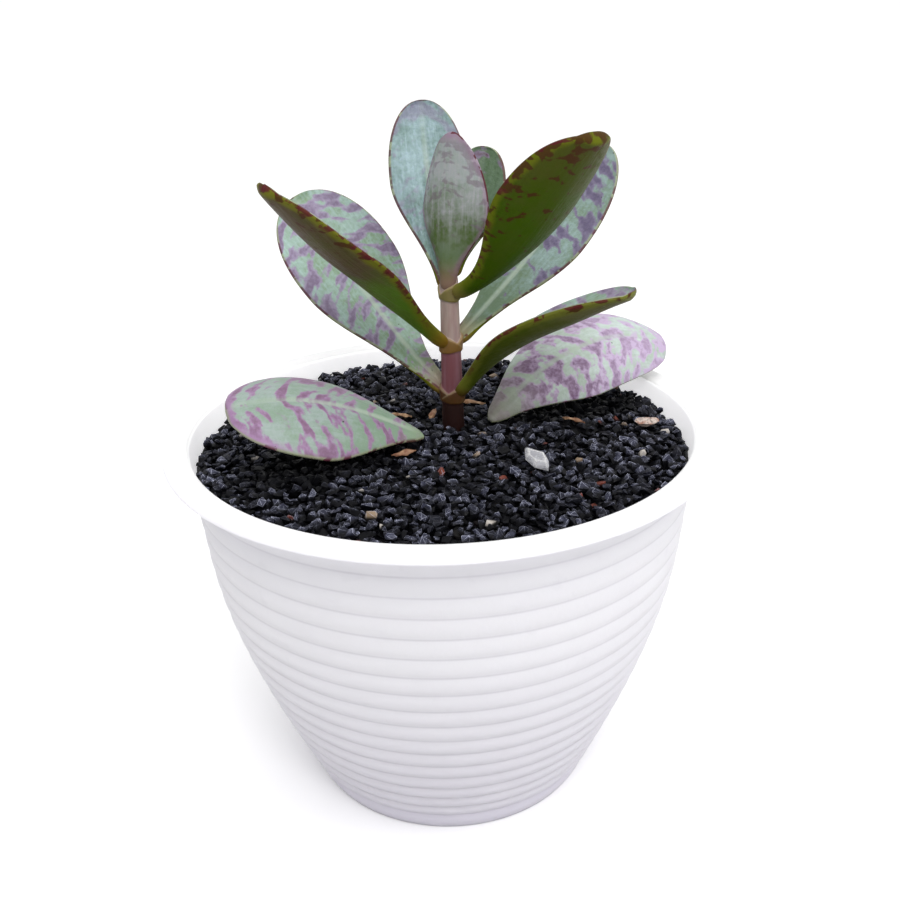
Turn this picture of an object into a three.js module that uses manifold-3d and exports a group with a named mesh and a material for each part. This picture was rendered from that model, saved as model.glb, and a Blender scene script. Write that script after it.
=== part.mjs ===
// Potted kalanchoe: a ringed plastic pot, potting mix, black grit, and a young
// plant with four pairs of leaves on its stem and two older leaves in the grit.
// Units are millimetres, +Z is up, and the origin is the centre of the pot's foot.
import * as THREE from 'three';
import { mergeVertices } from 'three/addons/utils/BufferGeometryUtils.js';
import Module from 'manifold-3d';

const wasm = await Module();
wasm.setup();

// ---- Driving dimensions ---------------------------------------------------

const CLEARANCE = 0.3; // gap between pieces that touch
const ROUND_SIDES = 60; // sides of the pot, the mix and the grit

const POT_HEIGHT = 113.3;
const RIM_RADIUS = 80;
const RIM_THICKNESS = 2;
const RIM_EDGE_ROUND = 0.6;
const MOUTH_RADIUS = 72.5;
const INNER_WALL_STEPS = 6;
const FOOT_RADIUS = 43.6;
const FOOT_RING_WIDTH = 3.2;
const FOOT_RECESS = 3;
const FLOOR_THICKNESS = 2.2;
const WALL_THICKNESS = 1.9;
const WALL_TOP_RADIUS = 74.5;
const WALL_SWELL_LOW = [77.7, 75.8]; // [radius, height] of the wall curve's lower pull
const WALL_SWELL_HIGH = [67.2, 80.2]; // and of its upper pull

const FIRST_RING_HEIGHT = 7.25; // plain foot band below the first groove
const RING_PITCH_TOP = 6.35;
const RING_PITCH_LOSS_LOW = 1.55; // how much closer the rings are at the foot
const RING_PITCH_RELAX = 2.6; // over how many rings the pitch opens out
const RING_COUNT = 17;
const RING_DEPTH_LOW = 0.65;
const RING_DEPTH_HIGH = 0.15;

const DRAIN_HOLES = 6;
const DRAIN_HOLE_RADIUS = 4;
const DRAIN_CIRCLE_RADIUS = 26;
const DRAIN_HOLE_SIDES = 12;

const GRIT_EDGE_HEIGHT = 107.8; // grit surface at the pot's wall
const GRIT_CENTRE_HEIGHT = 112; // the grit is heaped a little round the stem
const GRIT_DEPTH = 13;
const GRIT_RELIEF = 1.1; // how far a stone stands up, and the gap beside it goes down
const GRIT_RELIEF_LEAST = 0.4; // the flattest stone, as a share of that
const GRIT_STONE = 3.1; // from the middle of a stone to the gap beside it
const GRIT_STAGGER = 0.5; // how far a stone strays from its place, as a share of the spacing
const GRIT_PRESSED = 0.3; // how far the stones are pressed down under what lies on them
const LYING_HEIGHT = 3; // a low leaf presses the grit where it is closer than this
const LYING_REACH = 2.6; // and this far round each such point of it
const GRIT_SECTORS = 6; // each ring out has this many corners more
const MIX_STEPS = 3; // slopes up the side of the potting mix

const STEM_X = 3.4;
const STEM_Y = 2.1;
const STEM_BASE_RADIUS = 3.25;
const STEM_TOP_RADIUS = 2.5;
const STEM_TIP_RADIUS = 1.1;
const STEM_TIP_LENGTH = 2.5; // the rounded end of the growing tip
const STEM_TOP_HEIGHT = 46; // the growing tip above the grit
const STEM_COLLAR_DEPTH = 6; // how far below the grit the stem keeps its width
const ROOT_DEPTH = 34; // how deep the tapered root reaches below the grit
const ROOT_END_RADIUS = 1.2;
const ROOT_MIDDLE_RADIUS = 2.6;
const ROOT_MIDDLE_DEPTH = 24;
const STEM_SIDES = 18;
const STEM_STEPS = 18;
const NODE_SWELL = 0.45; // the stem is a little thicker where leaves join it
const NODE_SWELL_LENGTH = 1.6;
const NODE_HEIGHTS = [9.5, 24.5, 39.5]; // above the grit

const LEAF_MID_THICKNESS = 2.3;
const LEAF_EDGE_THICKNESS = 1;
const LEAF_BASE_THICKNESS = 3;
const LEAF_BASE_LENGTH = 0.3; // share of the leaf over which its thick base thins
const LEAF_THIN_FROM = 0.6; // the blade thins from here to its tip
const LEAF_LENS_POWER = 2.4; // how late across the blade it thins to the edge
const PETIOLE_WIDTH = 0.2; // share of the blade's width
const CLASP_ANGLE = 62; // how far the leaf's base curls round the stem, in degrees
const CLASP_LENGTH = 0.2; // share of the leaf that the curl fades over
const TIP_ROUNDNESS = 2.2;
const LEAF_STEPS_BELOW = 9; // stations from the base to the widest place
const LEAF_STEPS_TIP = 7; // stations from there to the tip
const LEAF_STEPS_ACROSS = 6;
const LEAF_TIP_BLUNT = 0.985; // the outline stops just short of a point
const MIDLINE_STEPS = 80;

// Each leaf: where its base is, and how its midline runs from there. Angles are
// in degrees: azimuth from +X towards +Y, rise above the level, roll and twist
// about the midline, cup across the blade (negative when the edges hang down).
// A low fullness widens the blade soon after its base.
const ON_STEM = 2; // distance of a leaf's base from the stem's axis
const LEAVES = [
  { name: 'leaf_pair1_left', node: 9.5, reach: ON_STEM, azimuth: 159, sweep: -6, rise: 43, tipRise: 47,
    bow: 7, roll: 16, twist: 24, length: 71, width: 33, cup: 17, widest: 0.62, fullness: 1.3 },
  { name: 'leaf_pair1_right', node: 9, reach: ON_STEM, azimuth: -32, sweep: 8, rise: 55, tipRise: 23,
    bow: -8, roll: 5, twist: -1, length: 64, width: 27, cup: 40, widest: 0.51, fullness: 1.3 },
  { name: 'leaf_pair2_left', node: 24.5, reach: ON_STEM, azimuth: 220, sweep: 1, rise: 43, tipRise: 50,
    bow: -6, roll: -6, twist: 18, length: 76.5, width: 29, cup: 36, widest: 0.6, fullness: 1.3 },
  { name: 'leaf_pair2_right', node: 24.5, reach: ON_STEM, azimuth: 31, sweep: -3, rise: 38, tipRise: 60,
    bow: -6, roll: -14, twist: -10, length: 72.5, width: 29, cup: 15, widest: 0.58, fullness: 1.3 },
  { name: 'leaf_pair3_back', node: 39.5, reach: ON_STEM, azimuth: 107, sweep: -1, rise: 51, tipRise: 83,
    bow: 1, roll: 1, twist: -3, length: 54.5, width: 24, cup: 25, widest: 0.59, fullness: 1.3 },
  { name: 'leaf_pair3_front', node: 39.5, reach: ON_STEM, azimuth: -46, sweep: -2, rise: 23, tipRise: 47,
    bow: 12, roll: 26, twist: -19, length: 68.5, width: 29, cup: 46, widest: 0.66, fullness: 1.3 },
  { name: 'leaf_tip_front', node: 44, reach: 1.4, azimuth: 246, sweep: -3, rise: 97, tipRise: 91,
    bow: 3, roll: 6, twist: 4, length: 39, width: 22.5, cup: 38, widest: 0.48, fullness: 1.1 },
  { name: 'leaf_tip_back', node: 44, reach: 1.6, azimuth: 49, sweep: 0, rise: 56, tipRise: 76,
    bow: -2, roll: -6, twist: -4, length: 37, width: 19, cup: 18, widest: 0.61, fullness: 1.3 },
  { name: 'leaf_low_left', at: [-5.1, -9.8, 113], azimuth: 187, sweep: 7, rise: 29, tipRise: -10,
    bow: 8, roll: 15, twist: 10, length: 57.5, width: 35, cup: -37, widest: 0.5, fullness: 0.8 },
  { name: 'leaf_low_right', at: [14.3, 0.4, 113.1], azimuth: 42, sweep: -20, rise: 30, tipRise: -30,
    bow: 11, roll: -25, twist: -11, length: 74.5, width: 32, cup: -40, widest: 0.52, fullness: 0.8 },
];

// Bits that lie on the grit: [x, y], length, width, thickness, turn in degrees.
const BITS = [
  { name: 'clear_chip', at: [25.6, -26.7], length: 11, width: 5, thickness: 2.2, turn: -60,
    colour: 0xdfe6ea },
  { name: 'pale_pebble', at: [60.3, 1.3], length: 6.5, width: 3.6, thickness: 3, turn: 12, colour: 0xcdbdb2 },
  { name: 'husk_1', at: [9.5, 16.5], length: 8, width: 2.4, thickness: 1, turn: -15, colour: 0xb07f4c },
  { name: 'husk_2', at: [-2.6, 7.6], length: 5.5, width: 2.6, thickness: 1, turn: 70, colour: 0xc79a58 },
  { name: 'husk_3', at: [-12.5, 7.3], length: 6, width: 2.2, thickness: 1, turn: -12, colour: 0xb5844f },
  { name: 'husk_4', at: [39, 2], length: 6.5, width: 2, thickness: 1, turn: -38, colour: 0xb9935f },
  { name: 'husk_5', at: [-11, -19.4], length: 6, width: 3.4, thickness: 1, turn: 10, colour: 0x9d7a63 },
];
const BIT_SIDES = 7;
const BIT_SINK = 0.4; // share of a bit's thickness that is bedded in the grit
const BIT_FACE = 0.7; // size of its upper and lower faces against its outline
const BIT_UNEVENNESS = 0.3;

// ---- Solids from meshes ----------------------------------------------------

function toSolid(geometry) {
  const bare = geometry.clone();
  bare.deleteAttribute('normal');
  bare.deleteAttribute('uv');
  const merged = mergeVertices(bare, 1e-3);
  return new wasm.Manifold(new wasm.Mesh({
    numProp: 3,
    vertProperties: new Float32Array(merged.attributes.position.array),
    triVerts: new Uint32Array(merged.index.array),
  }));
}

function toGeometry(solid) {
  const mesh = solid.getMesh();
  const geometry = new THREE.BufferGeometry();
  geometry.setAttribute('position', new THREE.BufferAttribute(new Float32Array(mesh.vertProperties), 3));
  geometry.setIndex(new THREE.BufferAttribute(new Uint32Array(mesh.triVerts), 1));
  return geometry;
}

function piece(name, geometry, colour, roughness) {
  const material = new THREE.MeshStandardMaterial({ color: colour, roughness, metalness: 0 });
  const mesh = new THREE.Mesh(geometry, material);
  mesh.name = name;
  return mesh;
}

// A turned solid about +Z from [radius, height] points that start and end on the axis.
function turned(profile, sides) {
  const points = profile.map(([radius, height]) => new THREE.Vector2(radius, height));
  return new THREE.LatheGeometry(points, sides).rotateX(Math.PI / 2);
}

// A closed skin over rows of points: top[i][j] above bottom[i][j]. Both faces are
// split into triangles along the same diagonals.
function slab(top, bottom) {
  const rows = top.length;
  const columns = top[0].length;
  const points = [...top.flat(), ...bottom.flat()];
  const upper = (i, j) => i * columns + j;
  const lower = (i, j) => rows * columns + upper(i, j);
  const faces = [];
  const quad = (a, b, c, d) => faces.push(a, b, c, a, c, d);
  for (let i = 0; i < rows - 1; i += 1) {
    for (let j = 0; j < columns - 1; j += 1) {
      quad(upper(i, j), upper(i, j + 1), upper(i + 1, j + 1), upper(i + 1, j));
      faces.push(lower(i, j), lower(i + 1, j + 1), lower(i, j + 1));
      faces.push(lower(i, j), lower(i + 1, j), lower(i + 1, j + 1));
    }
    quad(upper(i, 0), upper(i + 1, 0), lower(i + 1, 0), lower(i, 0));
    quad(upper(i, columns - 1), lower(i, columns - 1), lower(i + 1, columns - 1), upper(i + 1, columns - 1));
  }
  for (let j = 0; j < columns - 1; j += 1) {
    quad(upper(0, j), lower(0, j), lower(0, j + 1), upper(0, j + 1));
    quad(upper(rows - 1, j), upper(rows - 1, j + 1), lower(rows - 1, j + 1), lower(rows - 1, j));
  }
  const geometry = new THREE.BufferGeometry();
  geometry.setFromPoints(points);
  geometry.setIndex(faces);
  return geometry;
}

// ---- Pot --------------------------------------------------------------------

const RIM_UNDERSIDE = POT_HEIGHT - RIM_THICKNESS;
const POT_FLOOR = FOOT_RECESS + FLOOR_THICKNESS;

const wallCurve = new THREE.CubicBezierCurve(
  new THREE.Vector2(FOOT_RADIUS, 0),
  new THREE.Vector2(...WALL_SWELL_LOW),
  new THREE.Vector2(...WALL_SWELL_HIGH),
  new THREE.Vector2(WALL_TOP_RADIUS, RIM_UNDERSIDE),
);
const wallPoints = wallCurve.getPoints(120);

function wallRadius(height) {
  const next = wallPoints.findIndex((point) => point.y >= height);
  if (next <= 0) return next === 0 ? FOOT_RADIUS : WALL_TOP_RADIUS;
  const low = wallPoints[next - 1];
  const high = wallPoints[next];
  return THREE.MathUtils.mapLinear(height, low.y, high.y, low.x, high.x);
}

function innerRadius(height) {
  return Math.min(wallRadius(height) - WALL_THICKNESS, MOUTH_RADIUS);
}

function grooveHeights() {
  const heights = [FIRST_RING_HEIGHT];
  for (let ring = 0; ring < RING_COUNT - 1; ring += 1) {
    const pitch = RING_PITCH_TOP - RING_PITCH_LOSS_LOW * Math.exp(-ring / RING_PITCH_RELAX);
    heights.push(heights[ring] + pitch);
  }
  return heights;
}

// Groove, crest, groove, crest up the outer wall; the rings fade towards the rim.
function ringedWall() {
  const grooves = grooveHeights();
  const points = [];
  grooves.forEach((height, ring) => {
    const depth = THREE.MathUtils.mapLinear(height, 0, POT_HEIGHT, RING_DEPTH_LOW, RING_DEPTH_HIGH);
    points.push([wallRadius(height) - depth, height]);
    const nextGroove = ring + 1 < grooves.length ? grooves[ring + 1] : RIM_UNDERSIDE;
    const crest = (height + nextGroove) / 2;
    points.push([wallRadius(crest), crest]);
  });
  return points;
}

function innerWall() {
  const points = [];
  for (let step = 0; step <= INNER_WALL_STEPS; step += 1) {
    const height = THREE.MathUtils.lerp(RIM_UNDERSIDE, POT_FLOOR, step / INNER_WALL_STEPS);
    points.push([innerRadius(height), height]);
  }
  return points;
}

function drainHole(index) {
  const angle = (index / DRAIN_HOLES) * 2 * Math.PI;
  const length = 3 * POT_FLOOR; // centred on the foot, so it passes right through the floor
  const hole = new THREE.CylinderGeometry(DRAIN_HOLE_RADIUS, DRAIN_HOLE_RADIUS, length, DRAIN_HOLE_SIDES);
  hole.rotateX(Math.PI / 2);
  hole.translate(DRAIN_CIRCLE_RADIUS * Math.cos(angle), DRAIN_CIRCLE_RADIUS * Math.sin(angle), 0);
  return toSolid(hole);
}

function makePot() {
  const profile = [
    [0, FOOT_RECESS],
    [FOOT_RADIUS - FOOT_RING_WIDTH, FOOT_RECESS],
    [FOOT_RADIUS - FOOT_RING_WIDTH, 0],
    [FOOT_RADIUS, 0],
    ...ringedWall(),
    [WALL_TOP_RADIUS, RIM_UNDERSIDE],
    [RIM_RADIUS - RIM_EDGE_ROUND, RIM_UNDERSIDE],
    [RIM_RADIUS, RIM_UNDERSIDE + RIM_EDGE_ROUND],
    [RIM_RADIUS, POT_HEIGHT - RIM_EDGE_ROUND],
    [RIM_RADIUS - RIM_EDGE_ROUND, POT_HEIGHT],
    [MOUTH_RADIUS, POT_HEIGHT],
    ...innerWall(),
    [0, POT_FLOOR],
  ];
  let pot = toSolid(turned(profile, ROUND_SIDES));
  for (let index = 0; index < DRAIN_HOLES; index += 1) {
    pot = pot.subtract(drainHole(index));
  }
  return piece('pot', toGeometry(pot), 0xf4f3f6, 0.45);
}

// ---- Stem -------------------------------------------------------------------

function stemRadius(height) {
  const taper = THREE.MathUtils.clamp(height / STEM_TOP_HEIGHT, 0, 1);
  let radius = THREE.MathUtils.lerp(STEM_BASE_RADIUS, STEM_TOP_RADIUS, taper);
  NODE_HEIGHTS.forEach((node) => {
    radius += NODE_SWELL * Math.exp(-(((height - node) / NODE_SWELL_LENGTH) ** 2));
  });
  return radius;
}

// The stem from its root, through the grit, to the growing tip; grow makes it fatter
// all over, which gives the socket that it stands in.
function stemSolid(grow) {
  const profile = [
    [0, -ROOT_DEPTH - grow],
    [ROOT_END_RADIUS + grow, -ROOT_DEPTH - grow],
    [ROOT_MIDDLE_RADIUS + grow, -ROOT_MIDDLE_DEPTH],
  ];
  const shoulder = STEM_TOP_HEIGHT - STEM_TIP_LENGTH;
  for (let step = 0; step <= STEM_STEPS; step += 1) {
    const height = THREE.MathUtils.lerp(-STEM_COLLAR_DEPTH, shoulder, step / STEM_STEPS);
    profile.push([stemRadius(height) + grow, height]);
  }
  profile.push([STEM_TIP_RADIUS + grow, STEM_TOP_HEIGHT + grow]);
  profile.push([0, STEM_TOP_HEIGHT + grow]);
  return toSolid(turned(profile, STEM_SIDES).translate(STEM_X, STEM_Y, GRIT_CENTRE_HEIGHT));
}

// ---- Leaves -----------------------------------------------------------------

const { degToRad, smoothstep, lerp, clamp } = THREE.MathUtils;

// Places along the leaf, 0 at the base and 1 at the tip, closer together at the tip.
function leafStations(leaf) {
  const stations = [];
  for (let step = 0; step < LEAF_STEPS_BELOW; step += 1) {
    stations.push(leaf.widest * (step / LEAF_STEPS_BELOW));
  }
  for (let step = 0; step <= LEAF_STEPS_TIP; step += 1) {
    const angle = (Math.PI / 2) * (step / LEAF_STEPS_TIP) * LEAF_TIP_BLUNT;
    stations.push(leaf.widest + (1 - leaf.widest) * Math.sin(angle) ** (2 / TIP_ROUNDNESS));
  }
  return stations;
}

// Half of the blade's width at a station: a narrow base, then a long obovate blade.
function halfWidth(leaf, along) {
  if (along < leaf.widest) {
    const swell = smoothstep(along, 0, leaf.widest) ** leaf.fullness;
    return (leaf.width / 2) * (PETIOLE_WIDTH + (1 - PETIOLE_WIDTH) * swell);
  }
  const past = clamp((along - leaf.widest) / (1 - leaf.widest), 0, 1);
  return (leaf.width / 2) * Math.max(1 - past ** TIP_ROUNDNESS, 0) ** (1 / TIP_ROUNDNESS);
}

// The frame at a station: forward along the midline, side to the right of someone
// looking outward, and up out of the leaf's upper face.
function leafFrame(leaf, along) {
  const azimuth = degToRad(leaf.azimuth + leaf.sweep * along);
  const bend = leaf.bow * Math.sin(Math.PI * along);
  const rise = degToRad(lerp(leaf.rise, leaf.tipRise, along) + bend);
  const roll = degToRad(leaf.roll + leaf.twist * along);
  const forward = new THREE.Vector3(
    Math.cos(rise) * Math.cos(azimuth),
    Math.cos(rise) * Math.sin(azimuth),
    Math.sin(rise),
  );
  const level = new THREE.Vector3(Math.sin(azimuth), -Math.cos(azimuth), 0);
  const normal = new THREE.Vector3().crossVectors(level, forward);
  const side = level.clone().multiplyScalar(Math.cos(roll)).addScaledVector(normal, Math.sin(roll));
  const up = normal.multiplyScalar(Math.cos(roll)).addScaledVector(level, -Math.sin(roll));
  return { forward, side, up };
}

function leafBase(leaf) {
  if (leaf.at) return new THREE.Vector3(...leaf.at);
  const azimuth = degToRad(leaf.azimuth);
  return new THREE.Vector3(
    STEM_X + leaf.reach * Math.cos(azimuth),
    STEM_Y + leaf.reach * Math.sin(azimuth),
    GRIT_CENTRE_HEIGHT + leaf.node,
  );
}

function leafMidline(leaf, stations) {
  const fine = [leafBase(leaf)];
  for (let step = 0; step < MIDLINE_STEPS; step += 1) {
    const { forward } = leafFrame(leaf, (step + 0.5) / MIDLINE_STEPS);
    fine.push(fine[step].clone().addScaledVector(forward, leaf.length / MIDLINE_STEPS));
  }
  return stations.map((along) => {
    const place = Math.min(along * MIDLINE_STEPS, MIDLINE_STEPS - 1e-6);
    const step = Math.floor(place);
    return fine[step].clone().lerp(fine[step + 1], place - step);
  });
}

// The blade's cross-section is an arc; a leaf on the stem curls tightly at its base.
function cupAngle(leaf, along) {
  if (leaf.at) return degToRad(leaf.cup);
  return degToRad(lerp(CLASP_ANGLE, leaf.cup, smoothstep(along, 0, CLASP_LENGTH)));
}

function thickness(along, across) {
  const middle = lerp(LEAF_BASE_THICKNESS, LEAF_MID_THICKNESS, smoothstep(along, 0, LEAF_BASE_LENGTH));
  const towardTip = lerp(middle, LEAF_EDGE_THICKNESS, smoothstep(along, LEAF_THIN_FROM, 1));
  return lerp(towardTip, LEAF_EDGE_THICKNESS, Math.abs(across) ** LEAF_LENS_POWER);
}

// A point half-way through the blade: centre and frame of a station, across from -1 to 1.
function bladePoint(centre, { side, up }, cup, half, across) {
  const turn = cup * across;
  return centre.clone()
    .addScaledVector(side, half * Math.sin(turn) / cup)
    .addScaledVector(up, half * (1 - Math.cos(turn)) / cup);
}

// A leaf as a closed body; grow makes it larger all over, as a cutter needs.
function leafSolid(leaf, grow) {
  const stations = leafStations(leaf);
  const midline = leafMidline(leaf, stations);
  const top = [];
  const bottom = [];
  stations.forEach((along, index) => {
    const { forward, side, up } = leafFrame(leaf, along);
    const cup = cupAngle(leaf, along);
    const half = halfWidth(leaf, along) + grow;
    const centre = midline[index].clone();
    if (index === 0) centre.addScaledVector(forward, -grow);
    if (index === stations.length - 1) centre.addScaledVector(forward, grow);
    const topRow = [];
    const bottomRow = [];
    for (let column = 0; column <= LEAF_STEPS_ACROSS; column += 1) {
      const across = (column / LEAF_STEPS_ACROSS) * 2 - 1;
      const turn = cup * across;
      const point = bladePoint(centre, { side, up }, cup, half, across);
      const normal = side.clone().multiplyScalar(-Math.sin(turn)).addScaledVector(up, Math.cos(turn));
      const skin = thickness(along, across) / 2 + grow;
      topRow.push(point.clone().addScaledVector(normal, skin));
      bottomRow.push(point.clone().addScaledVector(normal, -skin));
    }
    top.push(topRow);
    bottom.push(bottomRow);
  });
  return toSolid(slab(top, bottom));
}

// ---- Grit and potting mix ---------------------------------------------------

function gritHeight(radius) {
  const share = (radius / MOUTH_RADIUS) ** 2;
  return lerp(GRIT_CENTRE_HEIGHT, GRIT_EDGE_HEIGHT, share);
}

// A fixed pseudo-random number from 0 to 1 for a place in the grid of stones.
function scatter(ring, spoke) {
  const value = Math.sin(ring * 127.1 + spoke * 311.7) * 43758.5453;
  return value - Math.floor(value);
}

const WALL_GAP = 2 * CLEARANCE; // the fill's gap to the wall, which its flat sides narrow
const GRIT_EDGE_RADIUS = innerRadius(GRIT_EDGE_HEIGHT) - WALL_GAP;

// Points of the low leaves that lie on the grit or just above it.
function lyingPoints() {
  const points = [];
  LEAVES.filter((leaf) => leaf.at).forEach((leaf) => {
    const stations = leafStations(leaf);
    leafMidline(leaf, stations).forEach((centre, index) => {
      const along = stations[index];
      [-1, -0.5, 0, 0.5, 1].forEach((across) => {
        const frame = leafFrame(leaf, along);
        points.push(bladePoint(centre, frame, cupAngle(leaf, along), halfWidth(leaf, along), across));
      });
    });
  });
  return points.filter((point) => point.z < gritHeight(Math.hypot(point.x, point.y)) + LYING_HEIGHT);
}

const leafContacts = lyingPoints();

// True where something lies on the grit, which presses its stones flat.
function isPressed(x, y) {
  const under = (centre, reach) => Math.hypot(centre.x - x, centre.y - y) < reach;
  const underBit = BITS.some((bit) => under(new THREE.Vector2(...bit.at), bit.length / 2));
  return underBit || leafContacts.some((point) => under(point, LYING_REACH));
}

const GRIT_RINGS = Math.round(GRIT_EDGE_RADIUS / GRIT_STONE);
const TURN_DRAW = 0.3; // offsets that give one corner several separate random draws
const REACH_DRAW = 0.6;

function gritLift(ring, spoke, x, y) {
  const draw = scatter(ring, spoke);
  if (isPressed(x, y)) return -GRIT_PRESSED * draw;
  const height = GRIT_RELIEF * lerp(GRIT_RELIEF_LEAST, 1, draw);
  return (ring + spoke) % 2 === 0 ? height : -height;
}

// One corner of the grit's top. Corners that stand up as stones and corners that
// sink as the gaps between them take turns round each ring, but the last is level.
function gritCorner(ring, spoke) {
  const edge = ring === GRIT_RINGS;
  const stray = (draw) => (edge ? 0 : (scatter(ring + draw, spoke) - 0.5) * GRIT_STAGGER);
  const angle = ((spoke + stray(TURN_DRAW)) / ringSize(ring)) * 2 * Math.PI;
  const radius = GRIT_EDGE_RADIUS * ((ring + stray(REACH_DRAW)) / GRIT_RINGS);
  const x = radius * Math.cos(angle);
  const y = radius * Math.sin(angle);
  const lift = edge ? 0 : gritLift(ring, spoke, x, y);
  return new THREE.Vector3(x, y, gritHeight(radius) + lift);
}

// Corners are numbered outward from the one in the middle; each ring out has six more.
function ringSize(ring) {
  return GRIT_SECTORS * ring;
}

function cornerNumber(ring, spoke) {
  if (ring === 0) return 0;
  return 1 + (GRIT_SECTORS * ring * (ring - 1)) / 2 + (spoke % ringSize(ring));
}

function addGritTop(points, faces) {
  points.push(new THREE.Vector3(0, 0, gritHeight(0)));
  for (let ring = 1; ring <= GRIT_RINGS; ring += 1) {
    for (let spoke = 0; spoke < ringSize(ring); spoke += 1) {
      points.push(gritCorner(ring, spoke));
      const inner = cornerNumber(ring - 1, spoke - Math.floor(spoke / ring));
      const next = cornerNumber(ring, spoke + 1);
      faces.push(inner, cornerNumber(ring, spoke), next);
      const afterInner = cornerNumber(ring - 1, spoke - Math.floor(spoke / ring) + 1);
      if (spoke % ring < ring - 1) faces.push(inner, next, afterInner);
    }
  }
}

const GRIT_UNDERSIDE = GRIT_EDGE_HEIGHT - GRIT_DEPTH;

function addGritSides(points, faces) {
  const count = ringSize(GRIT_RINGS);
  const foot = points.length;
  const middle = foot + count;
  const footRadius = innerRadius(GRIT_UNDERSIDE) - WALL_GAP;
  for (let spoke = 0; spoke < count; spoke += 1) {
    const angle = (spoke / count) * 2 * Math.PI;
    const [x, y] = [footRadius * Math.cos(angle), footRadius * Math.sin(angle)];
    points.push(new THREE.Vector3(x, y, GRIT_UNDERSIDE));
    const next = foot + ((spoke + 1) % count);
    const above = cornerNumber(GRIT_RINGS, spoke);
    faces.push(above, foot + spoke, next);
    faces.push(above, next, cornerNumber(GRIT_RINGS, spoke + 1));
    faces.push(foot + spoke, middle, next);
  }
  points.push(new THREE.Vector3(0, 0, GRIT_UNDERSIDE));
}

function gritSolid() {
  const points = [];
  const faces = [];
  addGritTop(points, faces);
  addGritSides(points, faces);
  const geometry = new THREE.BufferGeometry();
  geometry.setFromPoints(points);
  geometry.setIndex(faces);
  return toSolid(geometry);
}

function mixSolid() {
  const top = GRIT_UNDERSIDE - CLEARANCE;
  const bottom = POT_FLOOR + CLEARANCE;
  const profile = [[0, bottom]];
  for (let step = 0; step <= MIX_STEPS; step += 1) {
    const height = lerp(bottom, top, step / MIX_STEPS);
    profile.push([innerRadius(height) - WALL_GAP, height]);
  }
  profile.push([0, top]);
  return toSolid(turned(profile, ROUND_SIDES));
}

// ---- Bits on the grit -------------------------------------------------------

// Skins a stack of equal rings that starts and ends in a single middle point.
function capped(first, rows, last) {
  const count = rows[0].length;
  const points = [first, ...rows.flat(), last];
  const at = (ring, spoke) => 1 + ring * count + (spoke % count);
  const end = points.length - 1;
  const faces = [];
  for (let spoke = 0; spoke < count; spoke += 1) {
    faces.push(0, at(0, spoke), at(0, spoke + 1));
    for (let ring = 0; ring < rows.length - 1; ring += 1) {
      faces.push(at(ring, spoke), at(ring + 1, spoke), at(ring + 1, spoke + 1));
      faces.push(at(ring, spoke), at(ring + 1, spoke + 1), at(ring, spoke + 1));
    }
    faces.push(at(rows.length - 1, spoke), end, at(rows.length - 1, spoke + 1));
  }
  const geometry = new THREE.BufferGeometry();
  geometry.setFromPoints(points);
  geometry.setIndex(faces);
  return geometry;
}

// A flat, uneven splinter: a ring of corners between two smaller faces.
function bitSolid(bit, grow) {
  const [x, y] = bit.at;
  const centre = gritHeight(Math.hypot(x, y)) + bit.thickness * (0.5 - BIT_SINK);
  const turn = degToRad(bit.turn);
  const corners = (inset, lift) => {
    const row = [];
    for (let corner = 0; corner < BIT_SIDES; corner += 1) {
      const angle = (corner / BIT_SIDES) * 2 * Math.PI;
      const uneven = 1 + BIT_UNEVENNESS * (scatter(corner, bit.length) - 0.5);
      const along = (bit.length / 2) * inset * uneven * Math.cos(angle) + grow * Math.cos(angle);
      const across = (bit.width / 2) * inset * uneven * Math.sin(angle) + grow * Math.sin(angle);
      row.push(new THREE.Vector3(
        x + along * Math.cos(turn) - across * Math.sin(turn),
        y + along * Math.sin(turn) + across * Math.cos(turn),
        centre + lift,
      ));
    }
    return row;
  };
  const lift = bit.thickness / 2 + grow;
  const rows = [corners(BIT_FACE, lift), corners(1, 0), corners(BIT_FACE, -lift)];
  const middle = (height) => new THREE.Vector3(x, y, centre + height);
  return toSolid(capped(middle(lift), rows, middle(-lift)));
}

// ---- Assembly ---------------------------------------------------------------

const group = new THREE.Group();
group.add(makePot());

const stemSocket = stemSolid(CLEARANCE);

// The bases of neighbouring leaves crowd round the stem: a leaf is cut back by the
// stem and by the leaves listed before it, and keeps the largest part of what is left.
function seatedLeaf(leaf, index) {
  let solid = leafSolid(leaf, 0).subtract(stemSocket);
  LEAVES.slice(0, index).forEach((lower) => {
    solid = solid.subtract(leafSolid(lower, CLEARANCE));
  });
  return solid.decompose().sort((a, b) => b.volume() - a.volume())[0];
}

const leafSolids = LEAVES.map(seatedLeaf);

let grit = gritSolid().subtract(stemSocket);
LEAVES.filter((leaf) => leaf.at).forEach((leaf) => {
  grit = grit.subtract(leafSolid(leaf, CLEARANCE));
});
BITS.forEach((bit) => {
  grit = grit.subtract(bitSolid(bit, CLEARANCE));
});

group.add(piece('potting_mix', toGeometry(mixSolid().subtract(stemSocket)), 0x4a3626, 0.95));
group.add(piece('grit', toGeometry(grit), 0x24252b, 0.6));
group.add(piece('stem', toGeometry(stemSolid(0)), 0x9a6f76, 0.5));
LEAVES.forEach((leaf, index) => {
  group.add(piece(leaf.name, toGeometry(leafSolids[index]), 0x9db8a4, 0.5));
});
BITS.forEach((bit) => {
  group.add(piece(bit.name, toGeometry(bitSolid(bit, 0)), bit.colour, 0.7));
});

export default group;
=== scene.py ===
import math

import bmesh
import bpy
import numpy as np
from mathutils import Euler, Matrix, Vector
from mathutils.bvhtree import BVHTree


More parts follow.
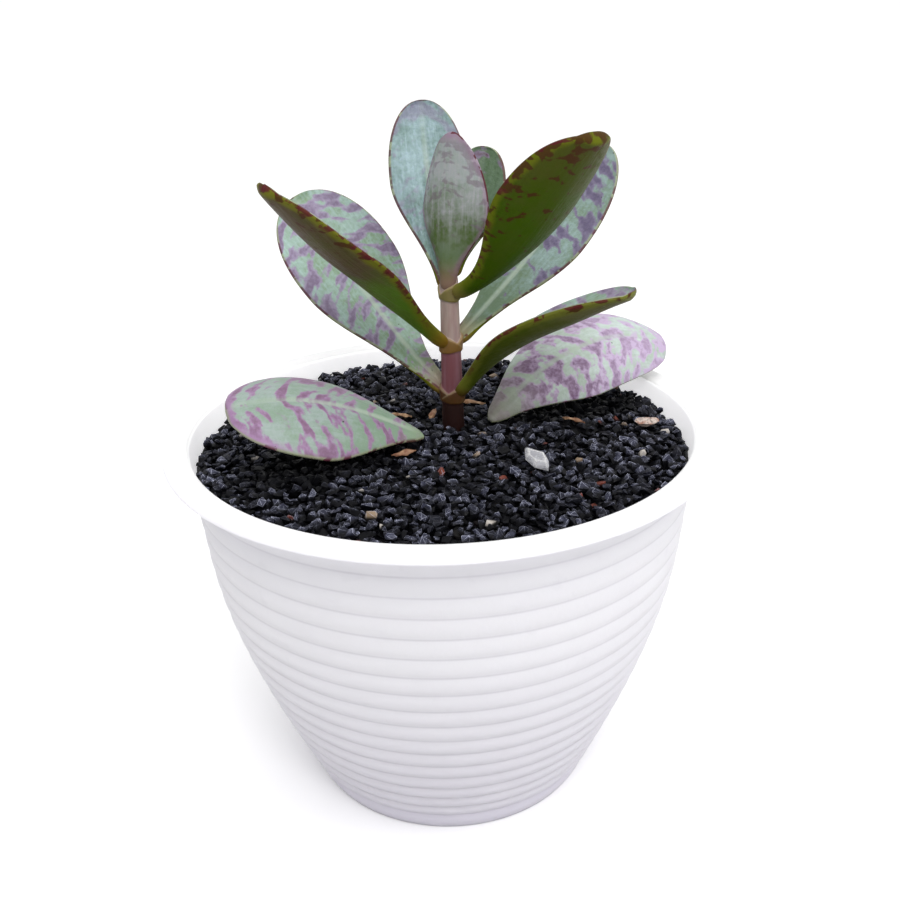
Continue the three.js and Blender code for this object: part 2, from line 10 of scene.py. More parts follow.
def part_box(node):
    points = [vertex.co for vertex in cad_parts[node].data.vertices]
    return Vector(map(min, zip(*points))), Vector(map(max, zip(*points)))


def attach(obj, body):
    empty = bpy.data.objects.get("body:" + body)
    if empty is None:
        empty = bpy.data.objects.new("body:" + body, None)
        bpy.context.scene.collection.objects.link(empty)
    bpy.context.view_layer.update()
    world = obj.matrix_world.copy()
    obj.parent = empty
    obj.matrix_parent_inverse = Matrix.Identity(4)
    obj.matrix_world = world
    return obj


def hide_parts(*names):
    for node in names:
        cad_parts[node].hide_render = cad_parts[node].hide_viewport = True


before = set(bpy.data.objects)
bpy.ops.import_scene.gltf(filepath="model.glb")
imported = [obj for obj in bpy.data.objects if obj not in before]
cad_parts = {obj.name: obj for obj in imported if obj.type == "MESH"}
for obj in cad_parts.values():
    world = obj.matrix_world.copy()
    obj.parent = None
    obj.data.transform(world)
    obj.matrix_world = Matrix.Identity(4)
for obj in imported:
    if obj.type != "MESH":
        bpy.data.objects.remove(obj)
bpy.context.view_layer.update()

# ---- Camera -------------------------------------------------------------------
# The photograph was taken by hand from a little above the plant, close to it, so
# the camera looks down on the grit and leans very slightly to one side.

camera_place = Vector((0, -0.2867, 0.2325))
camera_lens_mm = 42.33
camera_down = math.radians(24.10)
camera_turn = math.radians(0.456)
camera_lean = math.radians(-1.664)

forward = Vector((
    math.sin(camera_turn) * math.cos(camera_down),
    math.cos(camera_turn) * math.cos(camera_down),
    -math.sin(camera_down),
))
level_right = forward.cross(Vector((0, 0, 1))).normalized()
level_up = level_right.cross(forward)
right = math.cos(camera_lean) * level_right + math.sin(camera_lean) * level_up
up = math.cos(camera_lean) * level_up - math.sin(camera_lean) * level_right

camera = bpy.data.objects.new("camera", bpy.data.cameras.new("camera"))
camera.data.lens = camera_lens_mm
camera.data.sensor_width = 36
camera.matrix_world = Matrix((
    (right.x, up.x, -forward.x, camera_place.x),
    (right.y, up.y, -forward.y, camera_place.y),
    (right.z, up.z, -forward.z, camera_place.z),
    (0, 0, 0, 1),
))
bpy.context.scene.collection.objects.link(camera)
bpy.context.scene.camera = camera

# ---- Pot ----------------------------------------------------------------------
# One injection-moulded shell of white polypropylene: a bulging cone with shallow
# rounded rings that close up towards the foot, a flat flange round the mouth, and
# a recessed underside with drain holes.

MM = 0.001

pot_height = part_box("pot")[1].z / MM
rim_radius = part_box("pot")[1].x / MM
rim_thickness = 2
rim_edge_round = 0.7
mouth_radius = 72.5
mouth_round = 0.9
foot_radius = 43.6
foot_ring_width = 3.2
foot_recess = 3
foot_round = 0.8
floor_thickness = 2.2
wall_thickness = 1.9
wall_bend = ((43.6, 0), (77.7, 75.8), (67.2, 80.2), (74.5, pot_height - rim_thickness))

first_ring_height = 7.25
ring_pitch_top = 6.35
ring_pitch_loss_low = 1.55
ring_pitch_relax = 2.6
ring_count = 17
ring_depth_low = 0.95
ring_depth_high = 0.26
foot_ring_start = 2
foot_ring_swell = 0.35
ring_steps = 10

drain_holes = 6
drain_hole_radius = 4
drain_circle_radius = 26

pot_segments = 200


def mesh_piece(name, points, faces):
    """A new object from points in millimetres and an array of faces of one kind."""
    points = np.asarray(points, float) * MM
    faces = np.asarray(faces, int)
    corners = faces.shape[1]
    mesh = bpy.data.meshes.new(name)
    mesh.vertices.add(len(points))
    mesh.vertices.foreach_set("co", points.ravel())
    mesh.loops.add(faces.size)
    mesh.loops.foreach_set("vertex_index", faces.ravel())
    mesh.polygons.add(len(faces))
    mesh.polygons.foreach_set("loop_start", np.arange(0, faces.size, corners))
    mesh.update(calc_edges=True)
    mesh.validate()
    piece = bpy.data.objects.new(name, mesh)
    bpy.context.scene.collection.objects.link(piece)
    return piece


def shaped_piece(shape, name, mesh_name):
    """A new object from a bmesh, which is used up."""
    mesh = bpy.data.meshes.new(mesh_name)
    shape.to_mesh(mesh)
    shape.free()
    piece = bpy.data.objects.new(name, mesh)
    bpy.context.scene.collection.objects.link(piece)
    return piece


def ring_quads(rings, spokes):
    """The faces between rings of points that each close on themselves."""
    row = np.arange(rings - 1)[:, None] * spokes
    spoke = np.arange(spokes)
    following = (spoke + 1) % spokes
    return np.stack([row + spoke, row + following,
                     row + spokes + following, row + spokes + spoke], -1).reshape(-1, 4)


def smooth(piece, sharp_degrees):
    """Smooth shading that keeps the edges sharper than the angle."""
    mesh = piece.data
    mesh.polygons.foreach_set("use_smooth", np.ones(len(mesh.polygons), bool))
    mesh.set_sharp_from_angle(angle=math.radians(sharp_degrees))


def store(piece, name, values):
    """Keeps three numbers for each vertex, which the material reads by name."""
    layer = piece.data.attributes.new(name, "FLOAT_VECTOR", "POINT")
    layer.data.foreach_set("vector", np.asarray(values, float).ravel())


def arc(centre, radius, start, end, steps):
    """Points along part of a circle in the profile, angles in degrees."""
    angles = np.radians(np.linspace(start, end, steps))
    return [(centre[0] + radius * math.cos(a), centre[1] + radius * math.sin(a)) for a in angles]


def lathe(name, profile, segments):
    """Turns a profile of (radius, height) points that starts and ends on the axis."""
    rings = np.array(profile[1:-1])
    angles = np.linspace(0, 2 * math.pi, segments, endpoint=False)
    points = np.empty((len(rings), segments, 3))
    points[..., 0] = rings[:, :1] * np.cos(angles)
    points[..., 1] = rings[:, :1] * np.sin(angles)
    points[..., 2] = rings[:, 1:]
    quads = ring_quads(len(rings), segments)
    triangles = np.concatenate([quads[:, [0, 1, 2]], quads[:, [0, 2, 3]]])
    below = points.size // 3
    above = below + 1
    last = (len(rings) - 1) * segments
    spokes = np.arange(segments)
    following = (spokes + 1) % segments
    start = np.stack([np.full(segments, below), following, spokes], -1)
    end = np.stack([np.full(segments, above), last + spokes, last + following], -1)
    middles = [(0, 0, profile[0][1]), (0, 0, profile[-1][1])]
    points = np.concatenate([points.reshape(-1, 3), middles])
    return mesh_piece(name, points, np.concatenate([triangles, start, end]))


wall_share = np.linspace(0, 1, 300)[:, None]
wall_curve = (
    (1 - wall_share) ** 3 * np.array(wall_bend[0])
    + 3 * wall_share * (1 - wall_share) ** 2 * np.array(wall_bend[1])
    + 3 * wall_share ** 2 * (1 - wall_share) * np.array(wall_bend[2])
    + wall_share ** 3 * np.array(wall_bend[3])
)


def wall_radius(height):
    """Outer radius of the wall without its rings."""
    return np.interp(height, wall_curve[:, 1], wall_curve[:, 0])


ring_grooves = [first_ring_height]
for ring in range(ring_count - 1):
    ring_grooves.append(ring_grooves[-1] + ring_pitch_top
                        - ring_pitch_loss_low * math.exp(-ring / ring_pitch_relax))


def ring_depth(height):
    """The rings fade towards the rim."""
    return ring_depth_low + (ring_depth_high - ring_depth_low) * height / pot_height


def ringed_wall():
    """Rings bulged as arcs, so each is lit on top and turns under to a narrow groove."""
    points = []
    for share in np.linspace(0, 1, ring_steps, endpoint=False):
        height = foot_ring_start + (first_ring_height - foot_ring_start) * share
        sunk = ring_depth(height) * share - foot_ring_swell * 4 * share * (1 - share)
        points.append((wall_radius(height) - sunk, height))
    ends = ring_grooves[1:] + [pot_height - rim_thickness - 0.3]
    for low, high in zip(ring_grooves, ends):
        for step in range(ring_steps):
            share = step / ring_steps
            height = low + (high - low) * share
            swell = 4 * share * (1 - share)
            points.append((wall_radius(height) - ring_depth(height) * (1 - swell), height))
    return points


def pot_profile():
    """From the middle of the underside, round the foot, up the wall, over the rim and in."""
    inner = foot_radius - foot_ring_width
    under_rim = pot_height - rim_thickness
    floor = foot_recess + floor_thickness
    inside = np.linspace(under_rim - 1, floor + 3, 24)
    return [
        (0, foot_recess),
        (drain_circle_radius, foot_recess),
        *arc((inner - foot_round, foot_recess - foot_round), foot_round, 90, 0, 5),
        (inner, foot_round),
        *arc((inner + foot_round, foot_round), foot_round, 180, 270, 5),
        *arc((foot_radius - foot_round, foot_round), foot_round, 270, 360, 5),
        *ringed_wall(),
        (wall_bend[3][0], under_rim - 0.3),
        (wall_bend[3][0] + 0.3, under_rim),
        *arc((rim_radius - rim_edge_round, under_rim + rim_edge_round), rim_edge_round, -90, 0, 6),
        *arc((rim_radius - rim_edge_round, pot_height - rim_edge_round), rim_edge_round, 0, 90, 6),
        *arc((mouth_radius + mouth_round, pot_height - mouth_round), mouth_round, 90, 180, 6),
        *[(min(wall_radius(h) - wall_thickness, mouth_radius), h) for h in inside],
        (inner - 2, floor),
        (0, floor),
    ]


pot = lathe("pot_shell", pot_profile(), pot_segments)
drains = []
for hole in range(drain_holes):
    angle = 2 * math.pi * hole / drain_holes
    drain = bmesh.new()
    bmesh.ops.create_cone(drain, cap_ends=True, segments=40, radius1=drain_hole_radius * MM,
                          radius2=drain_hole_radius * MM, depth=20 * MM)
    cutter = shaped_piece(drain, "drain", "drain")
    cutter.location = (drain_circle_radius * MM * math.cos(angle),
                       drain_circle_radius * MM * math.sin(angle), 0)
    cut = pot.modifiers.new("drain", "BOOLEAN")
    cut.operation = "DIFFERENCE"
    cut.solver = "EXACT"
    cut.object = cutter
    drains.append(cutter)
bpy.context.view_layer.update()
cut_pot = bpy.data.meshes.new_from_object(pot.evaluated_get(bpy.context.evaluated_depsgraph_get()))
pot.modifiers.clear()
pot.data = cut_pot
for cutter in drains:
    bpy.data.objects.remove(cutter)
smooth(pot, 50)

places = np.array([vertex.co for vertex in pot.data.vertices]) / MM
radii = np.hypot(places[:, 0], places[:, 1])
sunk = (wall_radius(places[:, 2]) - radii) / ring_depth(places[:, 2])
outside = (sunk < 1.2) & (places[:, 2] > 4) & (places[:, 2] < pot_height - rim_thickness)
outer_edge = (radii > rim_radius - rim_edge_round) & (places[:, 2] < pot_height - 0.2)
body = (places[:, 2] < pot_height - rim_thickness + 0.2) & (sunk < 1.2)
inside = (radii < mouth_radius + 0.2) & (places[:, 2] > foot_recess + 1) & (sunk > 1.2)
store(pot, "ring", np.stack([
    np.where(outside, np.clip(sunk, 0, 1), 0),
    places[:, 2] / pot_height,
    np.where(body | outer_edge, 0, np.where(inside, 2, 1)),
], -1))


def fill(tree, made, values):
    """Fills a node's inputs; each value is a number, a colour or a socket to link from."""
    for key, value in values.items():
        if isinstance(value, bpy.types.NodeSocket):
            tree.links.new(value, made.inputs[key])
        else:
            made.inputs[key].default_value = value


def node(tree, kind, values=None, **settings):
    """A new shader node with its settings and inputs."""
    made = tree.nodes.new(kind)
    for key, value in settings.items():
        setattr(made, key, value)
    fill(tree, made, values or {})
    return made


def object_place(tree):
    """Where a point lies in the object, in metres."""
    return node(tree, "ShaderNodeTexCoord").outputs["Object"]


def sums(tree, operation, *values):
    """The result of one math node."""
    return node(tree, "ShaderNodeMath", dict(enumerate(values)), operation=operation).outputs[0]


def times(tree, first, second):
    """The product of two values."""
    return sums(tree, "MULTIPLY", first, second)


def noise(tree, place, scale, detail, roughness):
    """Cloudy noise between 0 and 1."""
    return node(tree, "ShaderNodeTexNoise", {
        "Vector": place, "Scale": scale, "Detail": detail, "Roughness": roughness,
    }).outputs["Fac"]


def rising(tree, value, low, high, bottom=0.0, top=1.0):
    """A soft step from bottom to top while the value goes from low to high."""
    made = node(tree, "ShaderNodeMapRange", {
        "Value": value, "From Min": low, "From Max": high, "To Min": bottom, "To Max": top,
    }, interpolation_type="SMOOTHSTEP")
    return made.outputs["Result"]


def tint(tree, amount, first, second):
    """The second colour over the first by an amount."""
    made = node(tree, "ShaderNodeMix", {0: amount, 6: first, 7: second},
                data_type="RGBA", blend_type="MIX", clamp_factor=True)
    return made.outputs[2]


def bumped(tree, height, strength, distance, under=None):
    """The shading normal over a height, on top of another one where it is given."""
    values = {"Height": height, "Strength": strength, "Distance": distance}
    if under is not None:
        values["Normal"] = under
    return node(tree, "ShaderNodeBump", values).outputs["Normal"]


def kept(tree, name):
    """The three numbers that store() kept for each vertex."""
    read = node(tree, "ShaderNodeAttribute", attribute_name=name)
    parts = node(tree, "ShaderNodeSeparateXYZ", {0: read.outputs["Vector"]})
    return read.outputs["Vector"], parts.outputs[0], parts.outputs[1], parts.outputs[2]


def finish_named(name):
    """An empty material, its tree and its Principled shader."""
    material = bpy.data.materials.new(name)
    material.use_nodes = True
    tree = material.node_tree
    shader = next(n for n in tree.nodes if n.type == "BSDF_PRINCIPLED")
    return material, tree, shader


def new_group(name, inputs, outputs):
    """An empty shader group with named sockets: inputs have default values."""
    group = bpy.data.node_groups.new(name, "ShaderNodeTree")
    for label, start in inputs.items():
        kind = "NodeSocketFloat" if isinstance(start, (int, float)) else "NodeSocketVector"
        socket = group.interface.new_socket(label, in_out="INPUT", socket_type=kind)
        socket.default_value = start
    for label in outputs:
        group.interface.new_socket(label, in_out="OUTPUT", socket_type="NodeSocketFloat")
    given = group.nodes.new("NodeGroupInput").outputs
    gives = group.nodes.new("NodeGroupOutput").inputs
    return group, given, gives


def placed(tree, group, **values):
    """A group placed in a tree with its own values; spaces in socket names are underscores."""
    labelled = {key.replace("_", " "): value for key, value in values.items()}
    return node(tree, "ShaderNodeGroup", labelled, node_tree=group).outputs


def mottle_group():
    """Cloudy patches: how large, how fine, and from which to which value they show."""
    group, given, gives = new_group(
        "cloudy patches",
        {"Place": (0, 0, 0), "Scale": 1.0, "Detail": 2.0, "Low": 0.4, "High": 0.6},
        ["Mask", "Height"],
    )
    cloud = noise(group, given["Place"], given["Scale"], given["Detail"], 0.55)
    group.links.new(rising(group, cloud, given["Low"], given["High"]), gives["Mask"])
    group.links.new(cloud, gives["Height"])
    return group


patches = mottle_group()

pot_white = (0.875, 0.848, 0.935, 1)
pot_low_painted_shade = (0.67, 0.643, 0.725, 1)
rim_painted_light_white = (0.98, 0.975, 0.985, 1)
pot_groove_dust_and_shade = (0.62, 0.595, 0.675, 1)
pot_scuff = (0.78, 0.755, 0.83, 1)
pot_no_glow = (0, 0, 0, 1)
pot_glow = (0.98, 0.98, 1, 1)
pot_glow_strength = 0.36


def pot_plastic():
    """Satin white with faint flow marks, painted greyer towards the foot as shade and
    greyer down in the grooves as dust and painted shade. The rim's top and the inside are
    painted whiter as painted light, and the inside has a painted glow: an emission that
    stands in for daylight through the thin wall."""
    material, tree, shader = finish_named("pot plastic")
    place = object_place(tree)
    _, groove, height, lip = kept(tree, "ring")
    flow = placed(tree, patches, Place=place, Scale=26, Detail=3, Low=0.45, High=0.75)
    grain = placed(tree, patches, Place=place, Scale=900, Detail=2)
    scuff = placed(tree, patches, Place=place, Scale=140, Detail=4, Low=0.60, High=0.72)
    # Darker towards the foot: painted shade, as the lower wall gets less light.
    colour = tint(tree, rising(tree, height, 0.0, 0.75), pot_low_painted_shade, pot_white)
    # The rim's top and the inside are painted whiter than the outer wall of the same plastic:
    # painted light.
    colour = tint(tree, lip, colour, rim_painted_light_white)
    colour = tint(tree, times(tree, flow["Mask"], 0.35), colour, pot_scuff)
    colour = tint(tree, times(tree, scuff["Mask"], 0.25), colour, pot_scuff)
    # Greyer down in the grooves: dust and painted shade.
    colour = tint(tree, rising(tree, groove, 0.7, 1.0, 0, 0.45), colour, pot_groove_dust_and_shade)
    rough = rising(tree, scuff["Mask"], 0, 1, 0.36, 0.5)
    uneven = bumped(tree, grain["Height"], 0.12, 0.0002)
    wavy = bumped(tree, flow["Height"], 0.25, 0.0012, uneven)
    # A painted glow on the inside: emission, though the plastic is no lamp.
    glow = tint(tree, rising(tree, lip, 1, 2), pot_no_glow, pot_glow)
    fill(tree, shader, {
        "Base Color": colour, "Emission Color": glow, "Roughness": rough, "Normal": wavy,
        "Emission Strength": pot_glow_strength, "IOR": 1.49, "Subsurface Weight": 0.8,
        "Subsurface Radius": (1.0, 0.97, 1.0), "Subsurface Scale": 0.006,
    })
    return material


pot.data.materials.append(pot_plastic())
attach(pot, "root")
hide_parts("pot")

# ---- Potting mix --------------------------------------------------------------
# Dark bark and peat under the grit. Only the drain holes show it, so it keeps the
# solid's shape and gets the colour of damp mix.

mix_dark = (0.035, 0.022, 0.015, 1)
mix_light = (0.13, 0.08, 0.05, 1)


def potting_mix():
    """Brown crumbs with paler bits of bark."""
    material, tree, shader = finish_named("potting mix")
    place = object_place(tree)
    crumbs = placed(tree, patches, Place=place, Scale=450, Detail=5, Low=0.4, High=0.65)
    lumps = bumped(tree, crumbs["Height"], 0.9, 0.002)
    fill(tree, shader, {
        "Base Color": tint(tree, crumbs["Mask"], mix_dark, mix_light), "Normal": lumps,
        "Roughness": 0.9,
    })
    return material


mix_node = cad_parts["potting_mix"]
mix_node.data.materials.clear()
mix_node.data.materials.append(potting_mix())

# ---- Stem ---------------------------------------------------------------------
# A young fleshy stem that stands in the grit. It darkens to maroon brown at its
# foot, and the foot of each leaf clasps it halfway round, thinning out to a point.

stem_x = 3.4
stem_y = 2.1
grit_centre = 112
stem_base_radius = 3.25
stem_top_radius = 2.5
stem_top = 46
stem_foot = -34
clasping_leaves = ((9.5, 159), (9, -32), (24.5, 31), (24.5, 220), (39.5, 107), (39.5, -46))
clasp_reach = math.radians(120)
clasp_below = 2.1
clasp_above = 3.0
clasp_rise_low = 0.7
clasp_fall_top = 3.8
clasp_swell = 1.05
clasp_rim = 0.25
stem_taper_start = -40
stem_taper_end = -12
stem_ridges = (0.02, 0.012)
stem_ridge_turn = 0.09
stem_top_round = 3
stem_rows = 320
stem_columns = 80


def close_piece(piece, turn_out=False):
    """Fills the open rings at the ends of a piece, and may turn its faces outwards."""
    shape = bmesh.new()
    shape.from_mesh(piece.data)
    bmesh.ops.holes_fill(shape, edges=[edge for edge in shape.edges if edge.is_boundary])
    if turn_out:
        bmesh.ops.recalc_face_normals(shape, faces=shape.faces)
    shape.to_mesh(piece.data)
    shape.free()


def soft_step(value, low, high):
    """0 below low, 1 above high, and smooth between them."""
    share = np.clip((value - low) / (high - low), 0, 1)
    return share * share * (3 - 2 * share)


def stem_mesh():
    """Rings up the stem, which swell where the foot of a leaf clasps it."""
    heights = np.linspace(stem_foot, stem_top, stem_rows)[:, None]
    angles = np.linspace(0, 2 * math.pi, stem_columns, endpoint=False)[None, :]
    share = np.clip(heights / stem_top, 0, 1)
    radius = stem_base_radius + (stem_top_radius - stem_base_radius) * share
    radius = radius * soft_step(heights, stem_taper_start, stem_taper_end)
    radius = radius + 0 * angles
    foot = np.zeros_like(radius)
    rim = np.zeros_like(radius)
    for level, direction in clasping_leaves:
        turn = np.abs((angles - math.radians(direction) + math.pi) % (2 * math.pi) - math.pi)
        round_share = np.clip(turn / clasp_reach, 0, 1)
        low = level - clasp_below + clasp_rise_low * round_share
        high = level + clasp_above - clasp_fall_top * round_share ** 1.7
        fading = soft_step(1 - round_share, 0, 0.15)
        begun = soft_step(heights, low - 0.4, low + 0.4)
        over = 1 - soft_step(heights, high - 0.25, high + 0.3)
        thick = 0.6 * begun + 0.4 * soft_step(heights, low, high)
        foot = np.maximum(foot, thick * over * fading * (1 - 0.6 * round_share))
        line = np.exp(-((heights - high) / clasp_rim) ** 2) * fading
        rim = rim * (1 - begun * over * fading) + line * (1 - rim)
    radius = radius + clasp_swell * foot
    uneven = (stem_ridges[0] * np.cos(3 * angles + heights * stem_ridge_turn)
              + stem_ridges[1] * np.cos(7 * angles))
    radius = radius * (1 + uneven)
    top_round = soft_step(heights, stem_top - stem_top_round, stem_top)
    radius = radius * np.sqrt(np.clip(1 - top_round ** 2, 0.02, 1))
    points = np.stack([
        stem_x + radius * np.cos(angles),
        stem_y + radius * np.sin(angles),
        grit_centre + heights + 0 * angles,
    ], -1)
    piece = mesh_piece("stem_shoot", points.reshape(-1, 3), ring_quads(stem_rows, stem_columns))
    close_piece(piece)
    store(piece, "stem", np.stack([share + 0 * angles, foot, rim], -1).reshape(-1, 3))
    smooth(piece, 60)
    return piece


stem_maroon = (0.016, 0.005, 0.004, 1)
stem_mauve = (0.16, 0.055, 0.066, 1)
stem_rose = (0.24, 0.12, 0.15, 1)
stem_pale = (0.42, 0.33, 0.29, 1)
clasp_brown = (0.065, 0.030, 0.006, 1)
clasp_orange = (0.17, 0.088, 0.010, 1)
clasp_yellow = (0.17, 0.14, 0.03, 1)
clasp_edge = (0.42, 0.33, 0.20, 1)


def stem_skin():
    """Maroon at the foot, mauve, then a pale dusty pink, with fine upright streaks."""
    material, tree, shader = finish_named("stem skin")
    place = object_place(tree)
    _, height, foot, rim = kept(tree, "stem")
    stretched = node(tree, "ShaderNodeMapping", {
        "Vector": place, "Scale": (1, 1, 0.12),
    }).outputs[0]
    streaks = placed(tree, patches, Place=stretched, Scale=900, Detail=3, Low=0.35, High=0.7)
    blush = placed(tree, patches, Place=stretched, Scale=260, Detail=2, Low=0.4, High=0.62)
    ragged_height = sums(tree, "ADD", height, times(tree, blush["Height"], 0.06))
    rosy = times(tree, blush["Mask"], rising(tree, height, 0.15, 0.3, 0, 0.6))
    colour = tint(tree, rosy, stem_mauve, stem_rose)
    colour = tint(tree, rising(tree, ragged_height, 0.5, 0.6, 0, 0.85), colour, stem_pale)
    colour = tint(tree, times(tree, rosy, 0.5), colour, stem_rose)
    colour = tint(tree, times(tree, streaks["Mask"], 0.25), colour, stem_mauve)
    colour = tint(tree, rising(tree, ragged_height, 0.17, 0.27, 1, 0), colour, stem_maroon)
    clasp = tint(tree, rising(tree, height, 0.3, 0.45), clasp_brown, clasp_orange)
    clasp = tint(tree, rising(tree, height, 0.62, 0.78), clasp, clasp_yellow)
    colour = tint(tree, rising(tree, foot, 0.08, 0.4, 0, 0.9), colour, clasp)
    colour = tint(tree, times(tree, rim, 0.35), colour, clasp_edge)
    fill(tree, shader, {
        "Base Color": colour, "Normal": bumped(tree, streaks["Height"], 0.35, 0.0003),
        "Roughness": 0.42, "Specular IOR Level": 0.25, "Subsurface Weight": 0.15,
        "Subsurface Radius": (1.0, 0.4, 0.3), "Subsurface Scale": 0.0012,
    })
    return material


stem = stem_mesh()
stem.data.materials.append(stem_skin())
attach(stem, "root")
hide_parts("stem")

# ---- Leaves -------------------------------------------------------------------
# Fleshy paddle-shaped leaves, in pairs that cross, with two older leaves lying on
# the grit. The upper face wears a blue-green wax barred with purple, the lower face
# is plain green to olive brown, and a thin reddish line runs round the edge.

leaf_mid = 2.3
leaf_edge = 1.0
leaf_base = 3.0
leaf_base_lying = 1.9
petiole_share = 0.2
end_share = 0.06
clasp_degrees = 62
clasp_share = 0.2
tip_power = 2.2
spoon_share = 0.4
rows_below = 58
rows_tip = 30
columns_flat = 33
columns_edge = 6
groove_depth = 0.42
groove_width = 0.85
keel_height = 0.35
keel_width = 1.7
swell_height = 0.22
thick_until = 0.3
thin_from = 0.6
lens_power = 2.4
tip_round_from = 0.985
ripple_lengths = (4.1, 7.3, 6.2)
bar_wander = 4.5

leaves = [
    dict(node="leaf_pair1_left", stem_at=9.5, reach=2, azimuth=159, sweep=-6, rise=43, tip_rise=47,
         bow=7, roll=16, twist=24, length=71, width=33, cup=17, widest=0.62, fullness=1.3),
    dict(node="leaf_pair1_right", stem_at=9, reach=2, azimuth=-32, sweep=8, rise=55, tip_rise=23,
         bow=-8, roll=5, twist=-1, length=64, width=27, cup=40, widest=0.51, fullness=1.3),
    dict(node="leaf_pair2_left", stem_at=24.5, reach=2, azimuth=220, sweep=1, rise=43, tip_rise=50,
         bow=-6, roll=-6, twist=18, length=76.5, width=29, cup=36, widest=0.6, fullness=1.3),
    dict(node="leaf_pair2_right", stem_at=24.5, reach=2, azimuth=31, sweep=-3, rise=38, tip_rise=60,
         bow=-6, roll=-14, twist=-10, length=72.5, width=29, cup=15, widest=0.58, fullness=1.3),
    dict(node="leaf_pair3_back", stem_at=39.5, reach=2, azimuth=107, sweep=-1, rise=51, tip_rise=83,
         bow=1, roll=1, twist=-3, length=54.5, width=24, cup=25, widest=0.59, fullness=1.3),
    dict(node="leaf_pair3_front", stem_at=39.5, reach=2, azimuth=-46, sweep=-2, rise=23,
         tip_rise=47, bow=12, roll=26, twist=-19, length=68.5, width=29, cup=46, widest=0.66,
         fullness=1.3),
    dict(node="leaf_tip_front", stem_at=40.5, reach=1.4, azimuth=246, sweep=-3, rise=97,
         tip_rise=91, bow=3, roll=6, twist=4, length=42.5, width=22.5, cup=38, widest=0.52,
         fullness=1.25, tip_power=1.75),
    dict(node="leaf_tip_back", stem_at=44, reach=1.6, azimuth=49, sweep=0, rise=56, tip_rise=76,
         bow=-2, roll=-6, twist=-4, length=37, width=19, cup=18, widest=0.61, fullness=1.3),
    dict(node="leaf_low_left", at=(-5.1, -9.8, 113), azimuth=187, sweep=7, rise=29, tip_rise=-10,
         bow=8, roll=15, twist=10, length=57.5, width=35, cup=-37, widest=0.5, fullness=0.8,
         petiole=0.14),
    dict(node="leaf_low_right", at=(14.3, 0.4, 113.1), azimuth=42, sweep=-20, rise=30, tip_rise=-30,
         bow=11, roll=-25, twist=-11, length=74.5, width=32, cup=-40, widest=0.52, fullness=0.8,
         petiole=0.17),
]


def leaf_rows(leaf):
    """Places along the leaf, 0 at the base and 1 at the tip, crowded towards the tip."""
    below = leaf["widest"] * np.linspace(0, 1, rows_below, endpoint=False)
    past = np.sin(np.linspace(0, math.pi / 2, rows_tip)) ** (2 / tip_power)
    return np.concatenate([below, leaf["widest"] + (1 - leaf["widest"]) * past])


def half_width(leaf, along):
    """Half of the blade's width: a narrow base, then a long paddle."""
    swell = soft_step(along, 0, leaf["widest"]) ** leaf["fullness"]
    petiole = leaf.get("petiole", petiole_share)
    lower = petiole + (1 - petiole) * swell
    past_end = np.clip(along / end_share, 0, 1)
    lower = lower * np.sqrt(np.clip(past_end * (2 - past_end), 0.1, 1))
    past = np.clip((along - leaf["widest"]) / (1 - leaf["widest"]), 0, 1)
    power = leaf.get("tip_power", tip_power)
    outer = np.clip(1 - past ** power, 0, 1) ** (1 / power)
    return leaf["width"] / 2 * np.where(along < leaf["widest"], lower, outer)


def leaf_axes(leaf, along):
    """Unit vectors along, across and up out of the blade at each place."""
    azimuth = np.radians(leaf["azimuth"] + leaf["sweep"] * along)
    bend = leaf["bow"] * np.sin(math.pi * along)
    rise = np.radians(leaf["rise"] + (leaf["tip_rise"] - leaf["rise"]) * along + bend)
    roll = np.radians(leaf["roll"] + leaf["twist"] * along)[:, None]
    ahead = np.stack([
        np.cos(rise) * np.cos(azimuth), np.cos(rise) * np.sin(azimuth), np.sin(rise),
    ], -1)
    flat = np.stack([np.sin(azimuth), -np.cos(azimuth), np.zeros_like(azimuth)], -1)
    normal = np.cross(flat, ahead)
    side = flat * np.cos(roll) + normal * np.sin(roll)
    out = normal * np.cos(roll) - flat * np.sin(roll)
    return ahead, side, out


def leaf_midline(leaf, along):
    """Points of the midline, found by following its direction from the base."""
    fine = np.linspace(0, 1, 400)
    ahead = leaf_axes(leaf, fine)[0]
    steps = (ahead[1:] + ahead[:-1]) / 2 * np.diff(fine)[:, None] * leaf["length"]
    if "at" in leaf:
        base = np.array(leaf["at"], float)
    else:
        turn = math.radians(leaf["azimuth"])
        base = np.array([stem_x + leaf["reach"] * math.cos(turn),
                         stem_y + leaf["reach"] * math.sin(turn),
                         grit_centre + leaf["stem_at"]])
    path = base + np.concatenate([np.zeros((1, 3)), np.cumsum(steps, 0)])
    return np.stack([np.interp(along, fine, path[:, axis]) for axis in range(3)], -1)


